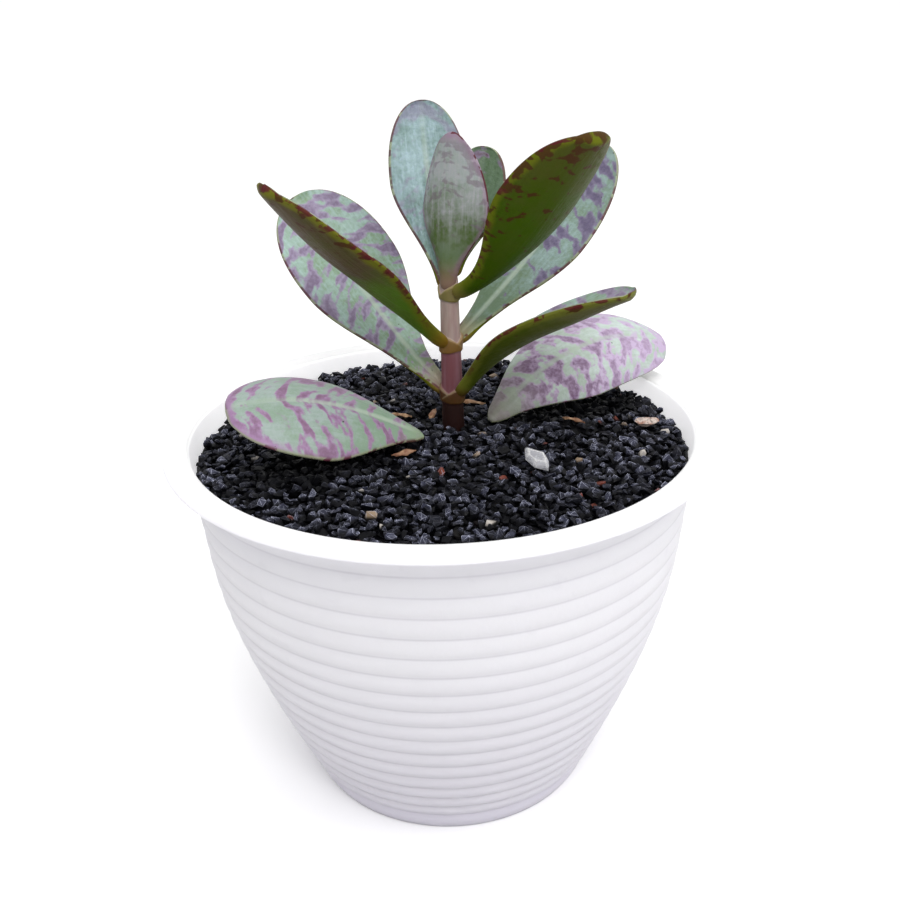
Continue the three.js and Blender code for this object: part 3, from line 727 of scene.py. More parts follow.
def leaf_mesh(leaf, seed):
    """Rings round the leaf, upper face then lower face, with a rounded edge between."""
    chance = np.random.default_rng(seed)
    along = leaf_rows(leaf)
    half = np.maximum(half_width(leaf, along), 0.02)
    half_at = half[:, None]
    midline = leaf_midline(leaf, along)
    _, side, out = leaf_axes(leaf, along)
    clasp = 1 - soft_step(along, 0, clasp_share)
    cup = np.radians(np.where("at" in leaf, leaf["cup"],
                              leaf["cup"] + (clasp_degrees - leaf["cup"]) * clasp))[:, None]

    edge_start = np.clip(1 - leaf_edge / 2 / half_at, 0, 0.999)
    flat = np.linspace(-1, 1, columns_flat)[None, :] * edge_start
    bend = np.sin(np.linspace(0, math.pi / 2, columns_edge + 1)[1:])[None, :]
    outer = edge_start + (1 - edge_start) * bend
    across = np.concatenate([-outer[:, ::-1], flat, outer], 1)

    past_edge = np.clip((np.abs(across) - edge_start) / (1 - edge_start), 0, 1)
    round_off = np.sqrt(1 - past_edge ** 2)
    base_thick = leaf_base_lying if "at" in leaf else leaf_base
    middle = base_thick + (leaf_mid - base_thick) * soft_step(along, 0, thick_until)
    middle = middle + (leaf_edge - middle) * soft_step(along, thin_from, 1)
    past_tip = np.clip((along - tip_round_from) / (1 - tip_round_from), 0, 1)
    past_end = np.clip(along / end_share, 0, 1)
    ends = np.sqrt(1 - past_tip ** 2) * np.sqrt(np.clip(past_end * (2 - past_end), 0.06, 1))
    lens = middle[:, None] + (leaf_edge - middle[:, None]) * np.abs(across) ** lens_power
    skin = lens / 2 * round_off * ends[:, None]

    distance = across * half_at
    turn = cup * across
    spoon_most = spoon_share * leaf["width"] / 2
    spoon = (spoon_most - np.minimum(spoon_most, half_at)) * (1 - np.cos(cup)) / cup
    spoon = spoon * (along > leaf["widest"])[:, None]
    midline = midline + out * spoon
    point = (midline[:, None] + side[:, None] * (half_at * np.sin(turn) / cup)[..., None]
             + out[:, None] * (half_at * (1 - np.cos(turn)) / cup)[..., None])
    normal = (side[:, None] * -np.sin(turn)[..., None]
              + out[:, None] * np.cos(turn)[..., None])

    phase = chance.uniform(0, 2 * math.pi, 4)
    length_mm = along[:, None] * leaf["length"]
    ripple = (np.sin(length_mm / ripple_lengths[0] + phase[0] + distance / 9) * 0.5
              + np.sin(length_mm / ripple_lengths[1] + phase[1] - distance / 5) * 0.7)
    wave = np.sin(length_mm / ripple_lengths[2] + phase[2]) * np.where(across > 0, 1, -1)
    lift = swell_height * (ripple * 0.6 + wave * np.abs(across) ** 4)
    lift = lift * soft_step(along, 0.12, 0.4)[:, None]
    fade = (soft_step(along, 0.03, 0.15) * (1 - soft_step(along, 0.75, 0.98)))[:, None]
    groove = groove_depth * np.exp(-(distance / groove_width) ** 2) * fade
    keel = keel_height * np.exp(-(distance / keel_width) ** 2) * round_off
    keel = keel * (1 - along[:, None]) ** 0.7

    upper = point + normal * (lift + skin - groove)[..., None]
    lower = point + normal * (lift - skin - keel)[..., None]
    columns = across.shape[1]
    ring = np.concatenate([upper, lower[:, -2:0:-1]], 1)
    per_ring = ring.shape[1]
    name = leaf["node"].replace("leaf", "blade")
    piece = mesh_piece(name, ring.reshape(-1, 3), ring_quads(len(along), per_ring))
    lower_face = np.arange(len(piece.data.polygons)) % per_ring >= columns - 1
    piece.data.polygons.foreach_set("material_index", lower_face.astype(np.int32))
    close_piece(piece, turn_out=True)

    none = np.zeros(ring.shape[:2])
    distance_ring = np.concatenate([distance, distance[:, -2:0:-1]], 1)
    across_ring = np.concatenate([np.abs(across), np.abs(across)[:, -2:0:-1]], 1)
    to_edge = np.minimum(half_at * (1 - across_ring), (1 - along[:, None]) * leaf["length"])
    store(piece, "blade", np.stack([length_mm + none, distance_ring, none], -1))
    store(piece, "skin", np.stack([to_edge, along[:, None] + none, none], -1))
    smooth(piece, 80)
    return piece


def bars_group():
    """Ragged bars across each half of the blade, which lean back towards the base."""
    group, given, gives = new_group("purple bars", {
        "Blade": (0, 0, 0), "Pitch": 4.0, "Reach": 13.0, "Slant": 0.5, "Seed": 0.0,
        "Threshold": 0.5, "Ragged": 0.25, "Soft": 0.03,
    }, ["Mask", "Depth"])
    parts = node(group, "ShaderNodeSeparateXYZ", {0: given["Blade"]}).outputs
    wander = sums(group, "SUBTRACT", noise(group, given["Blade"], 0.14, 2.0, 0.5), 0.5)
    wander = times(group, wander, bar_wander)
    outward = times(group, sums(group, "ABSOLUTE", parts[1]), given["Slant"])
    slanted = sums(group, "ADD", sums(group, "ADD", parts[0], outward), wander)
    place = node(group, "ShaderNodeCombineXYZ", {
        0: sums(group, "DIVIDE", slanted, given["Pitch"]),
        1: sums(group, "DIVIDE", parts[1], given["Reach"]),
        2: given["Seed"],
    }).outputs[0]
    broad = noise(group, place, 0.55, 1.5, 0.5)
    frayed = sums(group, "SUBTRACT", noise(group, given["Blade"], 0.5, 4.0, 0.6), 0.5)
    value = sums(group, "ADD", broad, times(group, frayed, given["Ragged"]))
    low = sums(group, "SUBTRACT", given["Threshold"], given["Soft"])
    high = sums(group, "ADD", given["Threshold"], given["Soft"])
    core = sums(group, "ADD", given["Threshold"], 0.15)
    group.links.new(rising(group, value, low, high), gives["Mask"])
    group.links.new(rising(group, value, given["Threshold"], core), gives["Depth"])
    return group


purple_bars = bars_group()


def specks_group():
    """Small scattered dots, of which only some show."""
    group, given, gives = new_group("small dots", {
        "Place": (0, 0, 0), "Scale": 0.4, "Size": 0.12, "Share": 0.5,
    }, ["Mask"])
    cells = node(group, "ShaderNodeTexVoronoi", {
        "Vector": given["Place"], "Scale": given["Scale"], "Randomness": 1.0,
    })
    chance = node(group, "ShaderNodeSeparateColor", {0: cells.outputs["Color"]}).outputs[0]
    shown = rising(group, chance, sums(group, "SUBTRACT", 1.0, given["Share"]), 1.0)
    size = times(group, given["Size"], shown)
    dot = rising(group, cells.outputs["Distance"], times(group, size, 0.7), size, 1, 0)
    visible = sums(group, "GREATER_THAN", shown, 0.01)
    group.links.new(times(group, dot, visible), gives["Mask"])
    return group


small_dots = specks_group()

upper_plain = dict(
    green=(0.18, 0.27, 0.16, 1), wax=(0.35, 0.48, 0.455, 1), midrib=(0.40, 0.48, 0.39, 1),
    purple=(0.18, 0.125, 0.215, 1), lilac=(0.34, 0.285, 0.41, 1), lilac_tip=0.0, bars=0.51,
    bars_base=0.62, bars_edge=0.485, bars_soft=0.04, bars_shown=0.95, slant=0.5, pitch=2.0,
    reach=5.6, ragged=0.24, base=(0.30, 0.26, 0.15, 1), base_share=0.16, tip_purple=0.0,
    edge_width=0.4,
)
upper_looks = {
    "leaf_pair1_left": dict(base=(0.30, 0.22, 0.17, 1), base_share=0.2, bars=0.525,
                            bars_edge=0.465, pitch=1.55, reach=3.8),
    "leaf_pair1_right": dict(bars=0.56, bars_edge=0.52),
    "leaf_pair2_right": dict(green=(0.14, 0.21, 0.13, 1), wax=(0.27, 0.37, 0.365, 1),
                             purple=(0.105, 0.08, 0.155, 1), lilac=(0.21, 0.175, 0.27, 1),
                             bars=0.525, bars_edge=0.475, bars_base=0.74, pitch=1.9, reach=4.2),
    "leaf_pair3_back": dict(green=(0.15, 0.24, 0.21, 1), wax=(0.37, 0.50, 0.54, 1), bars=0.62,
                            bars_edge=0.53, bars_base=0.9, bars_soft=0.08, bars_shown=0.6,
                            purple=(0.22, 0.18, 0.29, 1), lilac=(0.32, 0.28, 0.40, 1)),
    # Darker greens and purple on this leaf's upper face: painted shade, for the shadow it stands
    # in.
    "leaf_tip_back": dict(green=(0.09, 0.15, 0.07, 1), wax=(0.17, 0.25, 0.16, 1), bars=0.7,
                          bars_edge=0.58, bars_base=0.85, purple=(0.13, 0.05, 0.08, 1)),
    "leaf_low_left": dict(green=(0.205, 0.30, 0.215, 1), wax=(0.32, 0.385, 0.37, 1), slant=0.55,
                          purple=(0.20, 0.095, 0.18, 1), lilac=(0.34, 0.205, 0.36, 1), bars=0.54,
                          bars_edge=0.455, bars_base=0.59, pitch=1.7, reach=3.6, ragged=0.26,
                          base=(0.23, 0.31, 0.20, 1), tip_purple=0.85, edge_width=0.9),
    "leaf_low_right": dict(green=(0.34, 0.42, 0.34, 1), wax=(0.52, 0.60, 0.58, 1), slant=0.3,
                           purple=(0.17, 0.085, 0.175, 1), lilac=(0.50, 0.385, 0.56, 1),
                           lilac_tip=0.6, bars=0.475, bars_edge=0.44, bars_base=0.50, pitch=2.4,
                           reach=3.6, ragged=0.34, bars_soft=0.03, base=(0.15, 0.145, 0.12, 1),
                           base_share=0.32, tip_purple=0.3),
}
under_plain = dict(
    fresh=(0.038, 0.076, 0.001, 1), worn=(0.056, 0.064, 0.009, 1), worn_from=0.45, worn_to=1.0,
    blotch=(0.055, 0.016, 0.007, 1), blotches=0.68, blotches_edge=0.5, blotch_amount=0.85,
    blotch_soft=0.03, blotch_side=0.0, pitch=1.6, reach=2.4, bloom=(0.13, 0.14, 0.07, 1),
    bloom_amount=0.05, base=(0.19, 0.12, 0.03, 1), base_share=0.1,
    margin=(0.125, 0.145, 0.006, 1), margin_width=0.7, margin_amount=0.8, speckles=0.5,
    red_reach=2.6,
)
under_looks = {
    "leaf_pair1_right": dict(fresh=(0.055, 0.075, 0.004, 1), worn=(0.11, 0.105, 0.045, 1),
                             blotches=0.76, blotches_edge=0.66, margin_width=1.2,
                             margin_amount=0.85, margin=(0.13, 0.14, 0.018, 1),
                             base=(0.075, 0.036, 0.008, 1), red_reach=1.6),
    "leaf_pair2_left": dict(fresh=(0.075, 0.155, 0.010, 1), worn=(0.058, 0.034, 0.014, 1),
                            worn_from=0.35, worn_to=0.65, blotches=0.72, blotches_edge=0.56,
                            bloom=(0.13, 0.115, 0.06, 1), bloom_amount=0.4, margin_width=1.3,
                            margin_amount=0.9, margin=(0.13, 0.135, 0.010, 1),
                            base=(0.21, 0.11, 0.012, 1), base_share=0.14),
    "leaf_pair3_front": dict(worn=(0.054, 0.060, 0.006, 1), worn_from=0.5, blotches=0.66,
                             blotches_edge=0.535, blotch_side=0.03, margin_width=0.9,
                             pitch=1.2, reach=1.7, blotch_soft=0.045,
                             base=(0.20, 0.16, 0.04, 1), base_share=0.13),
    "leaf_tip_front": dict(fresh=(0.07, 0.112, 0.028, 1), worn=(0.27, 0.33, 0.29, 1),
                           worn_from=0.3, worn_to=0.85, blotch=(0.16, 0.10, 0.15, 1),
                           blotches=0.60, blotches_edge=0.50, blotch_amount=0.5,
                           blotch_soft=0.07, pitch=1.0, reach=1.9,
                           bloom=(0.38, 0.37, 0.40, 1), bloom_amount=0.75,
                           base=(0.22, 0.13, 0.10, 1), base_share=0.24,
                           margin=(0.33, 0.14, 0.28, 1), margin_width=0.1,
                           margin_amount=0.4, red_reach=0.6),
    "leaf_low_left": dict(margin=(0.45, 0.42, 0.22, 1), margin_width=2.2),
    "leaf_low_right": dict(margin=(0.20, 0.22, 0.06, 1), margin_width=1.2),
}
edge_red = (0.085, 0.012, 0.016, 1)
edge_pale = (0.25, 0.28, 0.16, 1)
edge_reds = {"leaf_pair3_back": 0.44, "leaf_pair1_right": 0.54, "leaf_pair2_left": 0.49,
             "leaf_low_left": 0.53, "leaf_low_right": 0.56, "leaf_tip_front": 0.47}
speck_black = (0.02, 0.012, 0.015, 1)
leaf_subsurface = 0.0008


def total(tree, *values):
    """The sum of several values."""
    result = values[0]
    for value in values[1:]:
        result = sums(tree, "ADD", result, value)
    return result


def streaks_group():
    """Faint lines that run along the blade."""
    group, given, gives = new_group("long streaks", {
        "Blade": (0, 0, 0), "Fine": 1.0,
    }, ["Mask", "Height"])
    drawn_out = node(group, "ShaderNodeVectorMath", {0: given["Blade"], 1: (0.09, 1.0, 1.0)},
                     operation="MULTIPLY").outputs[0]
    lines = noise(group, drawn_out, given["Fine"], 3.0, 0.6)
    group.links.new(rising(group, lines, 0.4, 0.7), gives["Mask"])
    group.links.new(lines, gives["Height"])
    return group


long_streaks = streaks_group()


def moved(tree, place, distance):
    """The same place in another slice of the textures, so that no two leaves match."""
    return node(tree, "ShaderNodeMapping", {
        "Vector": place, "Location": (0, 0, distance),
    }).outputs[0]


def edge_dashes(tree, along, across, to_edge, share_red, seed):
    """How red each stretch of the margin is: ragged half rounds a few millimetres long."""
    side = times(tree, sums(tree, "SIGN", across), 37.0)
    place = node(tree, "ShaderNodeCombineXYZ", {
        0: along, 1: sums(tree, "ADD", side, to_edge), 2: seed * 11.0,
    }).outputs[0]
    wavy = placed(tree, patches, Place=place, Scale=0.26, Detail=3)["Height"]
    fading = sums(tree, "SUBTRACT", wavy, times(tree, to_edge, 0.05))
    return rising(tree, fading, share_red - 0.025, share_red + 0.025)


def upper_skin(name, look, reds, seed):
    """Blue-green wax over green flesh, with purple bars and a pale midrib."""
    material, tree, shader = finish_named(name + " upper skin")
    blade, along, across, _ = kept(tree, "blade")
    _, to_edge, share, _ = kept(tree, "skin")
    shifted = moved(tree, blade, seed * 7.3)

    cloud = placed(tree, patches, Place=shifted, Scale=0.11, Detail=4, Low=0.35, High=0.62)
    bloom = placed(tree, patches, Place=shifted, Scale=0.8, Detail=4, Low=0.3, High=0.75)
    streaks = placed(tree, long_streaks, Blade=shifted, Fine=1.1)
    waxy = total(tree, times(tree, cloud["Mask"], 0.5),
                 times(tree, bloom["Mask"], 0.4),
                 times(tree, streaks["Mask"], 0.25),
                 rising(tree, share, 0.15, 0.6, -0.4, 0.02))
    colour = tint(tree, waxy, look["green"], look["wax"])
    near_middle = rising(tree, sums(tree, "ABSOLUTE", across), 0.2, 1.4, 1, 0)
    midrib = times(tree, near_middle, rising(tree, share, 0.5, 0.9, 0.75, 0.25))
    colour = tint(tree, midrib, colour, look["midrib"])

    inner = rising(tree, share, 0.15, 0.5, look["bars_base"], look["bars"])
    near_edge = rising(tree, to_edge, 0.5, 6, look["bars"] - look["bars_edge"], 0)
    threshold = sums(tree, "SUBTRACT", inner, near_edge)
    bars = placed(tree, purple_bars, Blade=shifted, Pitch=look["pitch"], Reach=look["reach"],
                  Slant=look["slant"], Seed=seed * 3.1, Ragged=look["ragged"],
                  Threshold=threshold, Soft=look["bars_soft"])
    pale = total(tree, times(tree, bloom["Mask"], 0.5),
                 rising(tree, share, 0.3, 0.9, 0, look["lilac_tip"]),
                 rising(tree, bars["Depth"], 0, 1, 0.5, -0.1))
    purple = tint(tree, pale, look["purple"], look["lilac"])
    off_midrib = rising(tree, midrib, 0, 1, look["bars_shown"], 0.15)
    shown = times(tree, bars["Mask"], off_midrib)
    colour = tint(tree, shown, colour, purple)
    spots = placed(tree, small_dots, Place=shifted, Scale=0.3, Size=0.28, Share=0.45)
    near_edge = rising(tree, to_edge, 3, 9, 0.8 * look["bars_shown"], 0.15)
    colour = tint(tree, times(tree, spots["Mask"], near_edge), colour, purple)
    tip_band = times(tree, rising(tree, to_edge, 0.8, 3.5, look["tip_purple"], 0),
                     rising(tree, share, 0.6, 0.8))
    colour = tint(tree, tip_band, colour, look["lilac"])

    colour = tint(tree, rising(tree, share, 0.02, look["base_share"], 0.9, 0), colour, look["base"])
    specks = placed(tree, small_dots, Place=shifted, Scale=0.24, Size=0.085, Share=0.5)
    colour = tint(tree, times(tree, specks["Mask"], 0.8), colour, speck_black)
    line = tint(tree, edge_dashes(tree, along, across, to_edge, reds, seed), edge_pale, edge_red)
    width = look["edge_width"]
    colour = tint(tree, rising(tree, to_edge, width * 0.3, width * 1.4, 0.85, 0), colour, line)

    pores = placed(tree, patches, Place=shifted, Scale=3.0, Detail=3)
    normal = bumped(tree, pores["Height"], 0.25, 0.0002)
    normal = bumped(tree, streaks["Height"], 0.3, 0.0004, normal)
    normal = bumped(tree, bloom["Height"], 0.25, 0.0012, normal)
    fill(tree, shader, {
        "Base Color": colour, "Roughness": rising(tree, bloom["Mask"], 0, 1, 0.36, 0.52),
        "Normal": normal, "IOR": 1.42, "Specular IOR Level": 0.45, "Subsurface Weight": 0.12,
        "Subsurface Radius": (0.7, 1.0, 0.4), "Subsurface Scale": leaf_subsurface,
    })
    return material


def under_skin(name, look, reds, seed):
    """Plain green flesh that turns olive brown outward, with a yellow-green margin."""
    material, tree, shader = finish_named(name + " under skin")
    blade, along, across, _ = kept(tree, "blade")
    _, to_edge, share, _ = kept(tree, "skin")
    shifted = moved(tree, blade, seed * 5.9)

    cloud = placed(tree, patches, Place=shifted, Scale=0.13, Detail=4, Low=0.36, High=0.64)
    bloom = placed(tree, patches, Place=shifted, Scale=0.8, Detail=4, Low=0.35, High=0.75)
    streaks = placed(tree, long_streaks, Blade=shifted, Fine=0.9)
    outward = rising(tree, share, look["worn_from"], look["worn_to"])
    worn = sums(tree, "ADD", outward, times(tree, cloud["Mask"], 0.35))
    colour = tint(tree, sums(tree, "SUBTRACT", worn, 0.15), look["fresh"], look["worn"])
    hazy = total(tree, bloom["Mask"], cloud["Mask"], streaks["Mask"])
    hazy = times(tree, hazy, rising(tree, share, 0.2, 0.6, 0, look["bloom_amount"] / 2))
    colour = tint(tree, hazy, colour, look["bloom"])

    width = look["margin_width"]
    ragged_edge = sums(tree, "SUBTRACT", to_edge, times(tree, cloud["Mask"], 0.8))
    margin = rising(tree, ragged_edge, width * 0.4, width + 1.4, look["margin_amount"], 0)
    colour = tint(tree, margin, colour, look["margin"])

    inner = rising(tree, share, 0.2, 0.95, look["blotches"] + 0.1, look["blotches"] - 0.05)
    near_edge = rising(tree, to_edge, 0.3, 4, look["blotches"] - look["blotches_edge"], 0)
    one_side = rising(tree, across, -8, 8, -look["blotch_side"], look["blotch_side"])
    threshold = sums(tree, "SUBTRACT", sums(tree, "SUBTRACT", inner, near_edge), one_side)
    blotches = placed(tree, purple_bars, Blade=shifted, Pitch=look["pitch"], Reach=look["reach"],
                      Slant=0.3, Seed=seed * 5.7, Ragged=0.4, Threshold=threshold,
                      Soft=look["blotch_soft"])
    colour = tint(tree, times(tree, blotches["Mask"], look["blotch_amount"]),
                  colour, look["blotch"])
    spots = placed(tree, small_dots, Place=shifted, Scale=0.45, Size=0.22, Share=look["speckles"])
    spots = times(tree, spots["Mask"], rising(tree, share, 0.2, 0.6, 0.1, 0.6))
    colour = tint(tree, spots, colour, look["blotch"])

    red = edge_dashes(tree, along, across, to_edge, reds, seed)
    red = times(tree, red, rising(tree, to_edge, 0.4, look["red_reach"], 0.9, 0))
    red = times(tree, red, rising(tree, share, 0.1, 0.3, 0.1, 1))
    colour = tint(tree, red, colour, edge_red)
    colour = tint(tree, rising(tree, share, 0.02, look["base_share"], 0.9, 0), colour, look["base"])
    specks = placed(tree, small_dots, Place=shifted, Scale=0.3, Size=0.08, Share=0.5)
    colour = tint(tree, times(tree, specks["Mask"], 0.8), colour, speck_black)

    pores = placed(tree, patches, Place=shifted, Scale=2.4, Detail=3)
    normal = bumped(tree, pores["Height"], 0.3, 0.00025)
    normal = bumped(tree, streaks["Height"], 0.3, 0.0005, normal)
    fill(tree, shader, {
        "Base Color": colour, "Roughness": rising(tree, bloom["Mask"], 0, 1, 0.36, 0.5),
        "Normal": normal, "IOR": 1.4, "Specular IOR Level": 0.08, "Subsurface Weight": 0.1,
        "Subsurface Radius": (0.6, 1.0, 0.2), "Subsurface Scale": leaf_subsurface,
    })
    return material


blades = {}
for count, leaf in enumerate(leaves):
    blade = leaf_mesh(leaf, seed=40 + count)
    name = leaf["node"].replace("_", " ")
    reds = edge_reds.get(leaf["node"], 0.52)
    upper_look = {**upper_plain, **upper_looks.get(leaf["node"], {})}
    under_look = {**under_plain, **under_looks.get(leaf["node"], {})}
    blade.data.materials.append(upper_skin(name, upper_look, reds, seed=1.0 + count))
    blade.data.materials.append(under_skin(name, under_look, reds, seed=1.5 + count))
    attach(blade, "root")
    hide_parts(leaf["node"])
    blades[leaf["node"]] = blade

# ---- Bits on the grit ---------------------------------------------------------
# What has fallen or been left on the grit: a clear mineral splinter, one pale
# stone, and dry brown husks. Each lies on the stones, so they come before them.

grit_edge = 107.8
stone_top = 0.9
splinter_corners = ((-3.1, 4.7), (2.3, 1.6), (3.1, -1.6), (2.8, -4.3), (-0.9, -2.8), (-3.1, 0.8))
splinter_levels = ((-0.5, 1), (0.1, 0.97), (0.5, 0.8))
splinter_thickness = 2.2
splinter_bevel = 0.22
splinter_lean = 14
husk_steps = 40
husk_spans = 14

bit_turns = {"pale_pebble": 12, "husk_1": -15, "husk_2": 70, "husk_3": -12,
             "husk_4": -38, "husk_5": 10}
bit_sizes = {"pale_pebble": (6.5, 3.6, 3), "husk_1": (8.2, 1.9, 0.4), "husk_2": (5.5, 2.4, 0.4),
             "husk_3": (6.2, 1.7, 0.4), "husk_4": (6.8, 1.6, 0.4), "husk_5": (6, 2.9, 0.4)}


def grit_height(radius):
    """The grit is heaped a little round the stem."""
    return grit_centre + (grit_edge - grit_centre) * (radius / mouth_radius) ** 2


def bit_place(name):
    """Where a bit's CAD solid lies, raised to the tops of the stones."""
    low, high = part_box(name)
    x = (low.x + high.x) / 2 / MM
    y = (low.y + high.y) / 2 / MM
    return x, y, grit_height(math.hypot(x, y)) + stone_top


def hull_of(corners):
    """The hull round some corners, as a bmesh without the corners inside it."""
    hull = bmesh.new()
    for corner in corners:
        hull.verts.new(corner)
    made = bmesh.ops.convex_hull(hull, input=hull.verts)
    spare = [part for part in made["geom_interior"] if isinstance(part, bmesh.types.BMVert)]
    bmesh.ops.delete(hull, geom=spare, context="VERTS")
    return hull


def poke_faces(shape):
    """Puts a corner in the middle of each face: 0 for those in the result, 1 for the rest."""
    middles = bmesh.ops.poke(shape, faces=shape.faces)["verts"]
    shape.verts.index_update()
    edge = np.ones(len(shape.verts))
    edge[[vertex.index for vertex in middles]] = 0
    return edge


def splinter_mesh(name):
    """A flat broken plate with worn edges, tipped a little towards the front."""
    plate = hull_of([
        (x * share, y * share, level * splinter_thickness + 0.06 * x * level)
        for level, share in splinter_levels for x, y in splinter_corners
    ])
    bmesh.ops.dissolve_limit(plate, angle_limit=math.radians(4), verts=plate.verts,
                             edges=plate.edges)
    bmesh.ops.bevel(plate, geom=plate.edges, offset=splinter_bevel, segments=2, profile=0.6,
                    affect="EDGES")
    edge = poke_faces(plate)
    x, y, z = bit_place(name)
    lean = Matrix.Rotation(math.radians(splinter_lean), 4, "X")
    shift = Matrix.Translation(Vector((x, y, z + splinter_thickness * 0.35)))
    plate.transform(Matrix.Scale(MM, 4) @ shift @ lean)
    piece = shaped_piece(plate, name + "_piece", name)
    store(piece, "splinter", np.stack([edge, 0 * edge, 0 * edge], -1))
    smooth(piece, 30)
    return piece


def pebble_mesh(name, seed, facets):
    """A ball cut by random planes, then stretched to the bit's size."""
    chance = np.random.default_rng(seed)
    ball = bmesh.new()
    bmesh.ops.create_icosphere(ball, subdivisions=4, radius=1)
    points = np.array([vertex.co for vertex in ball.verts])
    for _ in range(facets):
        normal = chance.normal(size=3)
        normal /= np.linalg.norm(normal)
        beyond = np.maximum(points @ normal - chance.uniform(0.55, 0.85), 0)
        points = points - beyond[:, None] * normal
    length, width, thickness = bit_sizes[name]
    points = points * np.array([length, width, thickness]) / 2 / 0.8
    for vertex, point in zip(ball.verts, points):
        vertex.co = point * MM
    x, y, z = bit_place(name)
    turn = Matrix.Rotation(math.radians(bit_turns[name]), 4, "Z")
    lean = Matrix.Rotation(math.radians(chance.uniform(-8, 8)), 4, "Y")
    shift = Matrix.Translation(Vector((x, y, z + thickness * 0.2)) * MM)
    ball.transform(shift @ turn @ lean)
    piece = shaped_piece(ball, name + "_piece", name)
    smooth(piece, 25)
    return piece


def husk_mesh(name, seed):
    """A thin flake with torn ends that curls across and along."""
    chance = np.random.default_rng(seed)
    length, width, thickness = bit_sizes[name]
    along = np.linspace(-1, 1, husk_steps)[:, None]
    across = np.linspace(-1, 1, husk_spans)[None, :]
    ragged = 1 + 0.10 * np.sin(along * 4.3 + seed) + 0.05 * np.sin(along * 11 + 2 * seed)
    half = width / 2 * np.clip(1.01 - np.abs(along) ** 2.2, 0.02, 1) ** 0.7 * ragged
    x = length / 2 * along + 0.5 * np.sin(across * 5 + seed) * np.abs(along) ** 3
    curl = chance.uniform(1.0, 1.5)
    y = half * np.sin(across * curl) / curl
    arch = half * (np.cos(across * curl) - 1) / curl
    bow = 0.9 * np.cos(along * 1.3 + chance.uniform(-0.5, 0.5))
    z = arch + bow + 0.15 * np.sin(along * 5 + across * 2 + seed)
    top = np.stack([x + 0 * y, y, z], -1)
    skin = np.array([0, 0, thickness * 0.6])
    points = np.concatenate([top.reshape(-1, 3), (top - skin).reshape(-1, 3)])
    turn = math.radians(bit_turns[name])
    spin = np.array([
        [math.cos(turn), math.sin(turn), 0], [-math.sin(turn), math.cos(turn), 0], [0, 0, 1],
    ])
    points = points @ spin + np.array(bit_place(name))
    grid = np.arange(husk_steps * husk_spans).reshape(husk_steps, husk_spans)
    cells = np.stack([grid[:-1, :-1], grid[1:, :-1], grid[1:, 1:], grid[:-1, 1:]], -1)
    cells = cells.reshape(-1, 4)
    rim = np.concatenate([grid[:, 0], grid[-1, 1:], grid[-2::-1, -1], grid[0, -2:0:-1]])
    rim_next = np.roll(rim, -1)
    wall = np.stack([rim_next, rim, rim + grid.size, rim_next + grid.size], -1)
    faces = np.concatenate([cells, cells[:, ::-1] + grid.size, wall])
    piece = mesh_piece(name + "_piece", points, faces)
    close_piece(piece, turn_out=True)
    smooth(piece, 50)
    return piece


mineral_clear = (0.60, 0.60, 0.65, 1)
mineral_cracked = (0.74, 0.74, 0.79, 1)
mineral_edge_highlight = (1.0, 1.0, 1.0, 1)
pale_cream = (0.52, 0.43, 0.38, 1)
pale_rust = (0.32, 0.15, 0.10, 1)
pale_pit = (0.09, 0.06, 0.05, 1)
husk_brown = (0.25, 0.12, 0.055, 1)
husk_straw = (0.56, 0.37, 0.22, 1)
husk_stain = (0.17, 0.065, 0.035, 1)


def clear_mineral():
    """Clear stone, frosted by fine cracks, with painted highlights along its edges."""
    material, tree, shader = finish_named("clear mineral")
    place = object_place(tree)
    cracks = placed(tree, patches, Place=place, Scale=330, Detail=2, Low=0.38, High=0.66)
    _, edge, _, _ = kept(tree, "splinter")
    colour = tint(tree, cracks["Mask"], mineral_clear, mineral_cracked)
    # Near-white along the edges: painted highlights.
    colour = tint(tree, rising(tree, edge, 0.72, 0.88), colour, mineral_edge_highlight)
    fill(tree, shader, {
        "Base Color": colour, "Roughness": rising(tree, cracks["Mask"], 0, 1, 0.12, 0.4),
        "Normal": bumped(tree, cracks["Height"], 0.4, 0.0006),
        "Transmission Weight": 0.5, "IOR": 1.5,
    })
    return material


def pale_stone():
    """Cream stone with a rusty end."""
    material, tree, shader = finish_named("pale stone")
    place = object_place(tree)
    rust = placed(tree, patches, Place=place, Scale=330, Detail=3, Low=0.5, High=0.65)
    pits = placed(tree, patches, Place=place, Scale=1500, Detail=4)
    colour = tint(tree, rust["Mask"], pale_cream, pale_rust)
    colour = tint(tree, rising(tree, pits["Height"], 0.38, 0.5, 0.85, 0), colour, pale_pit)
    fill(tree, shader, {
        "Base Color": colour, "Normal": bumped(tree, pits["Height"], 0.6, 0.0004),
        "Roughness": 0.6,
    })
    return material


def dry_husk():
    """Straw to brown, streaked along its fibres."""
    material, tree, shader = finish_named("dry husk")
    place = object_place(tree)
    fibres = placed(tree, patches, Place=place, Scale=800, Detail=3, Low=0.35, High=0.65)
    stain = placed(tree, patches, Place=place, Scale=180, Detail=2, Low=0.4, High=0.6)
    colour = tint(tree, fibres["Mask"], husk_brown, husk_straw)
    colour = tint(tree, times(tree, stain["Mask"], 0.8), colour, husk_stain)
    fill(tree, shader, {
        "Base Color": colour, "Normal": bumped(tree, fibres["Height"], 0.6, 0.0003),
        "Roughness": 0.65,
    })
    return material


bits = {
    "clear_chip": (splinter_mesh("clear_chip"), clear_mineral(), "clear_mineral"),
    "pale_pebble": (pebble_mesh("pale_pebble", seed=8, facets=16), pale_stone(), "pale_stone"),
}
husk_finish = dry_husk()
for count in range(1, 6):
    name = f"husk_{count}"
    bits[name] = (husk_mesh(name, seed=20 + count), husk_finish, "dry_husk")
for name, (piece, finish, slot_name) in bits.items():
    piece.data.materials.append(finish)
    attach(piece, "root")
    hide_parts(name)
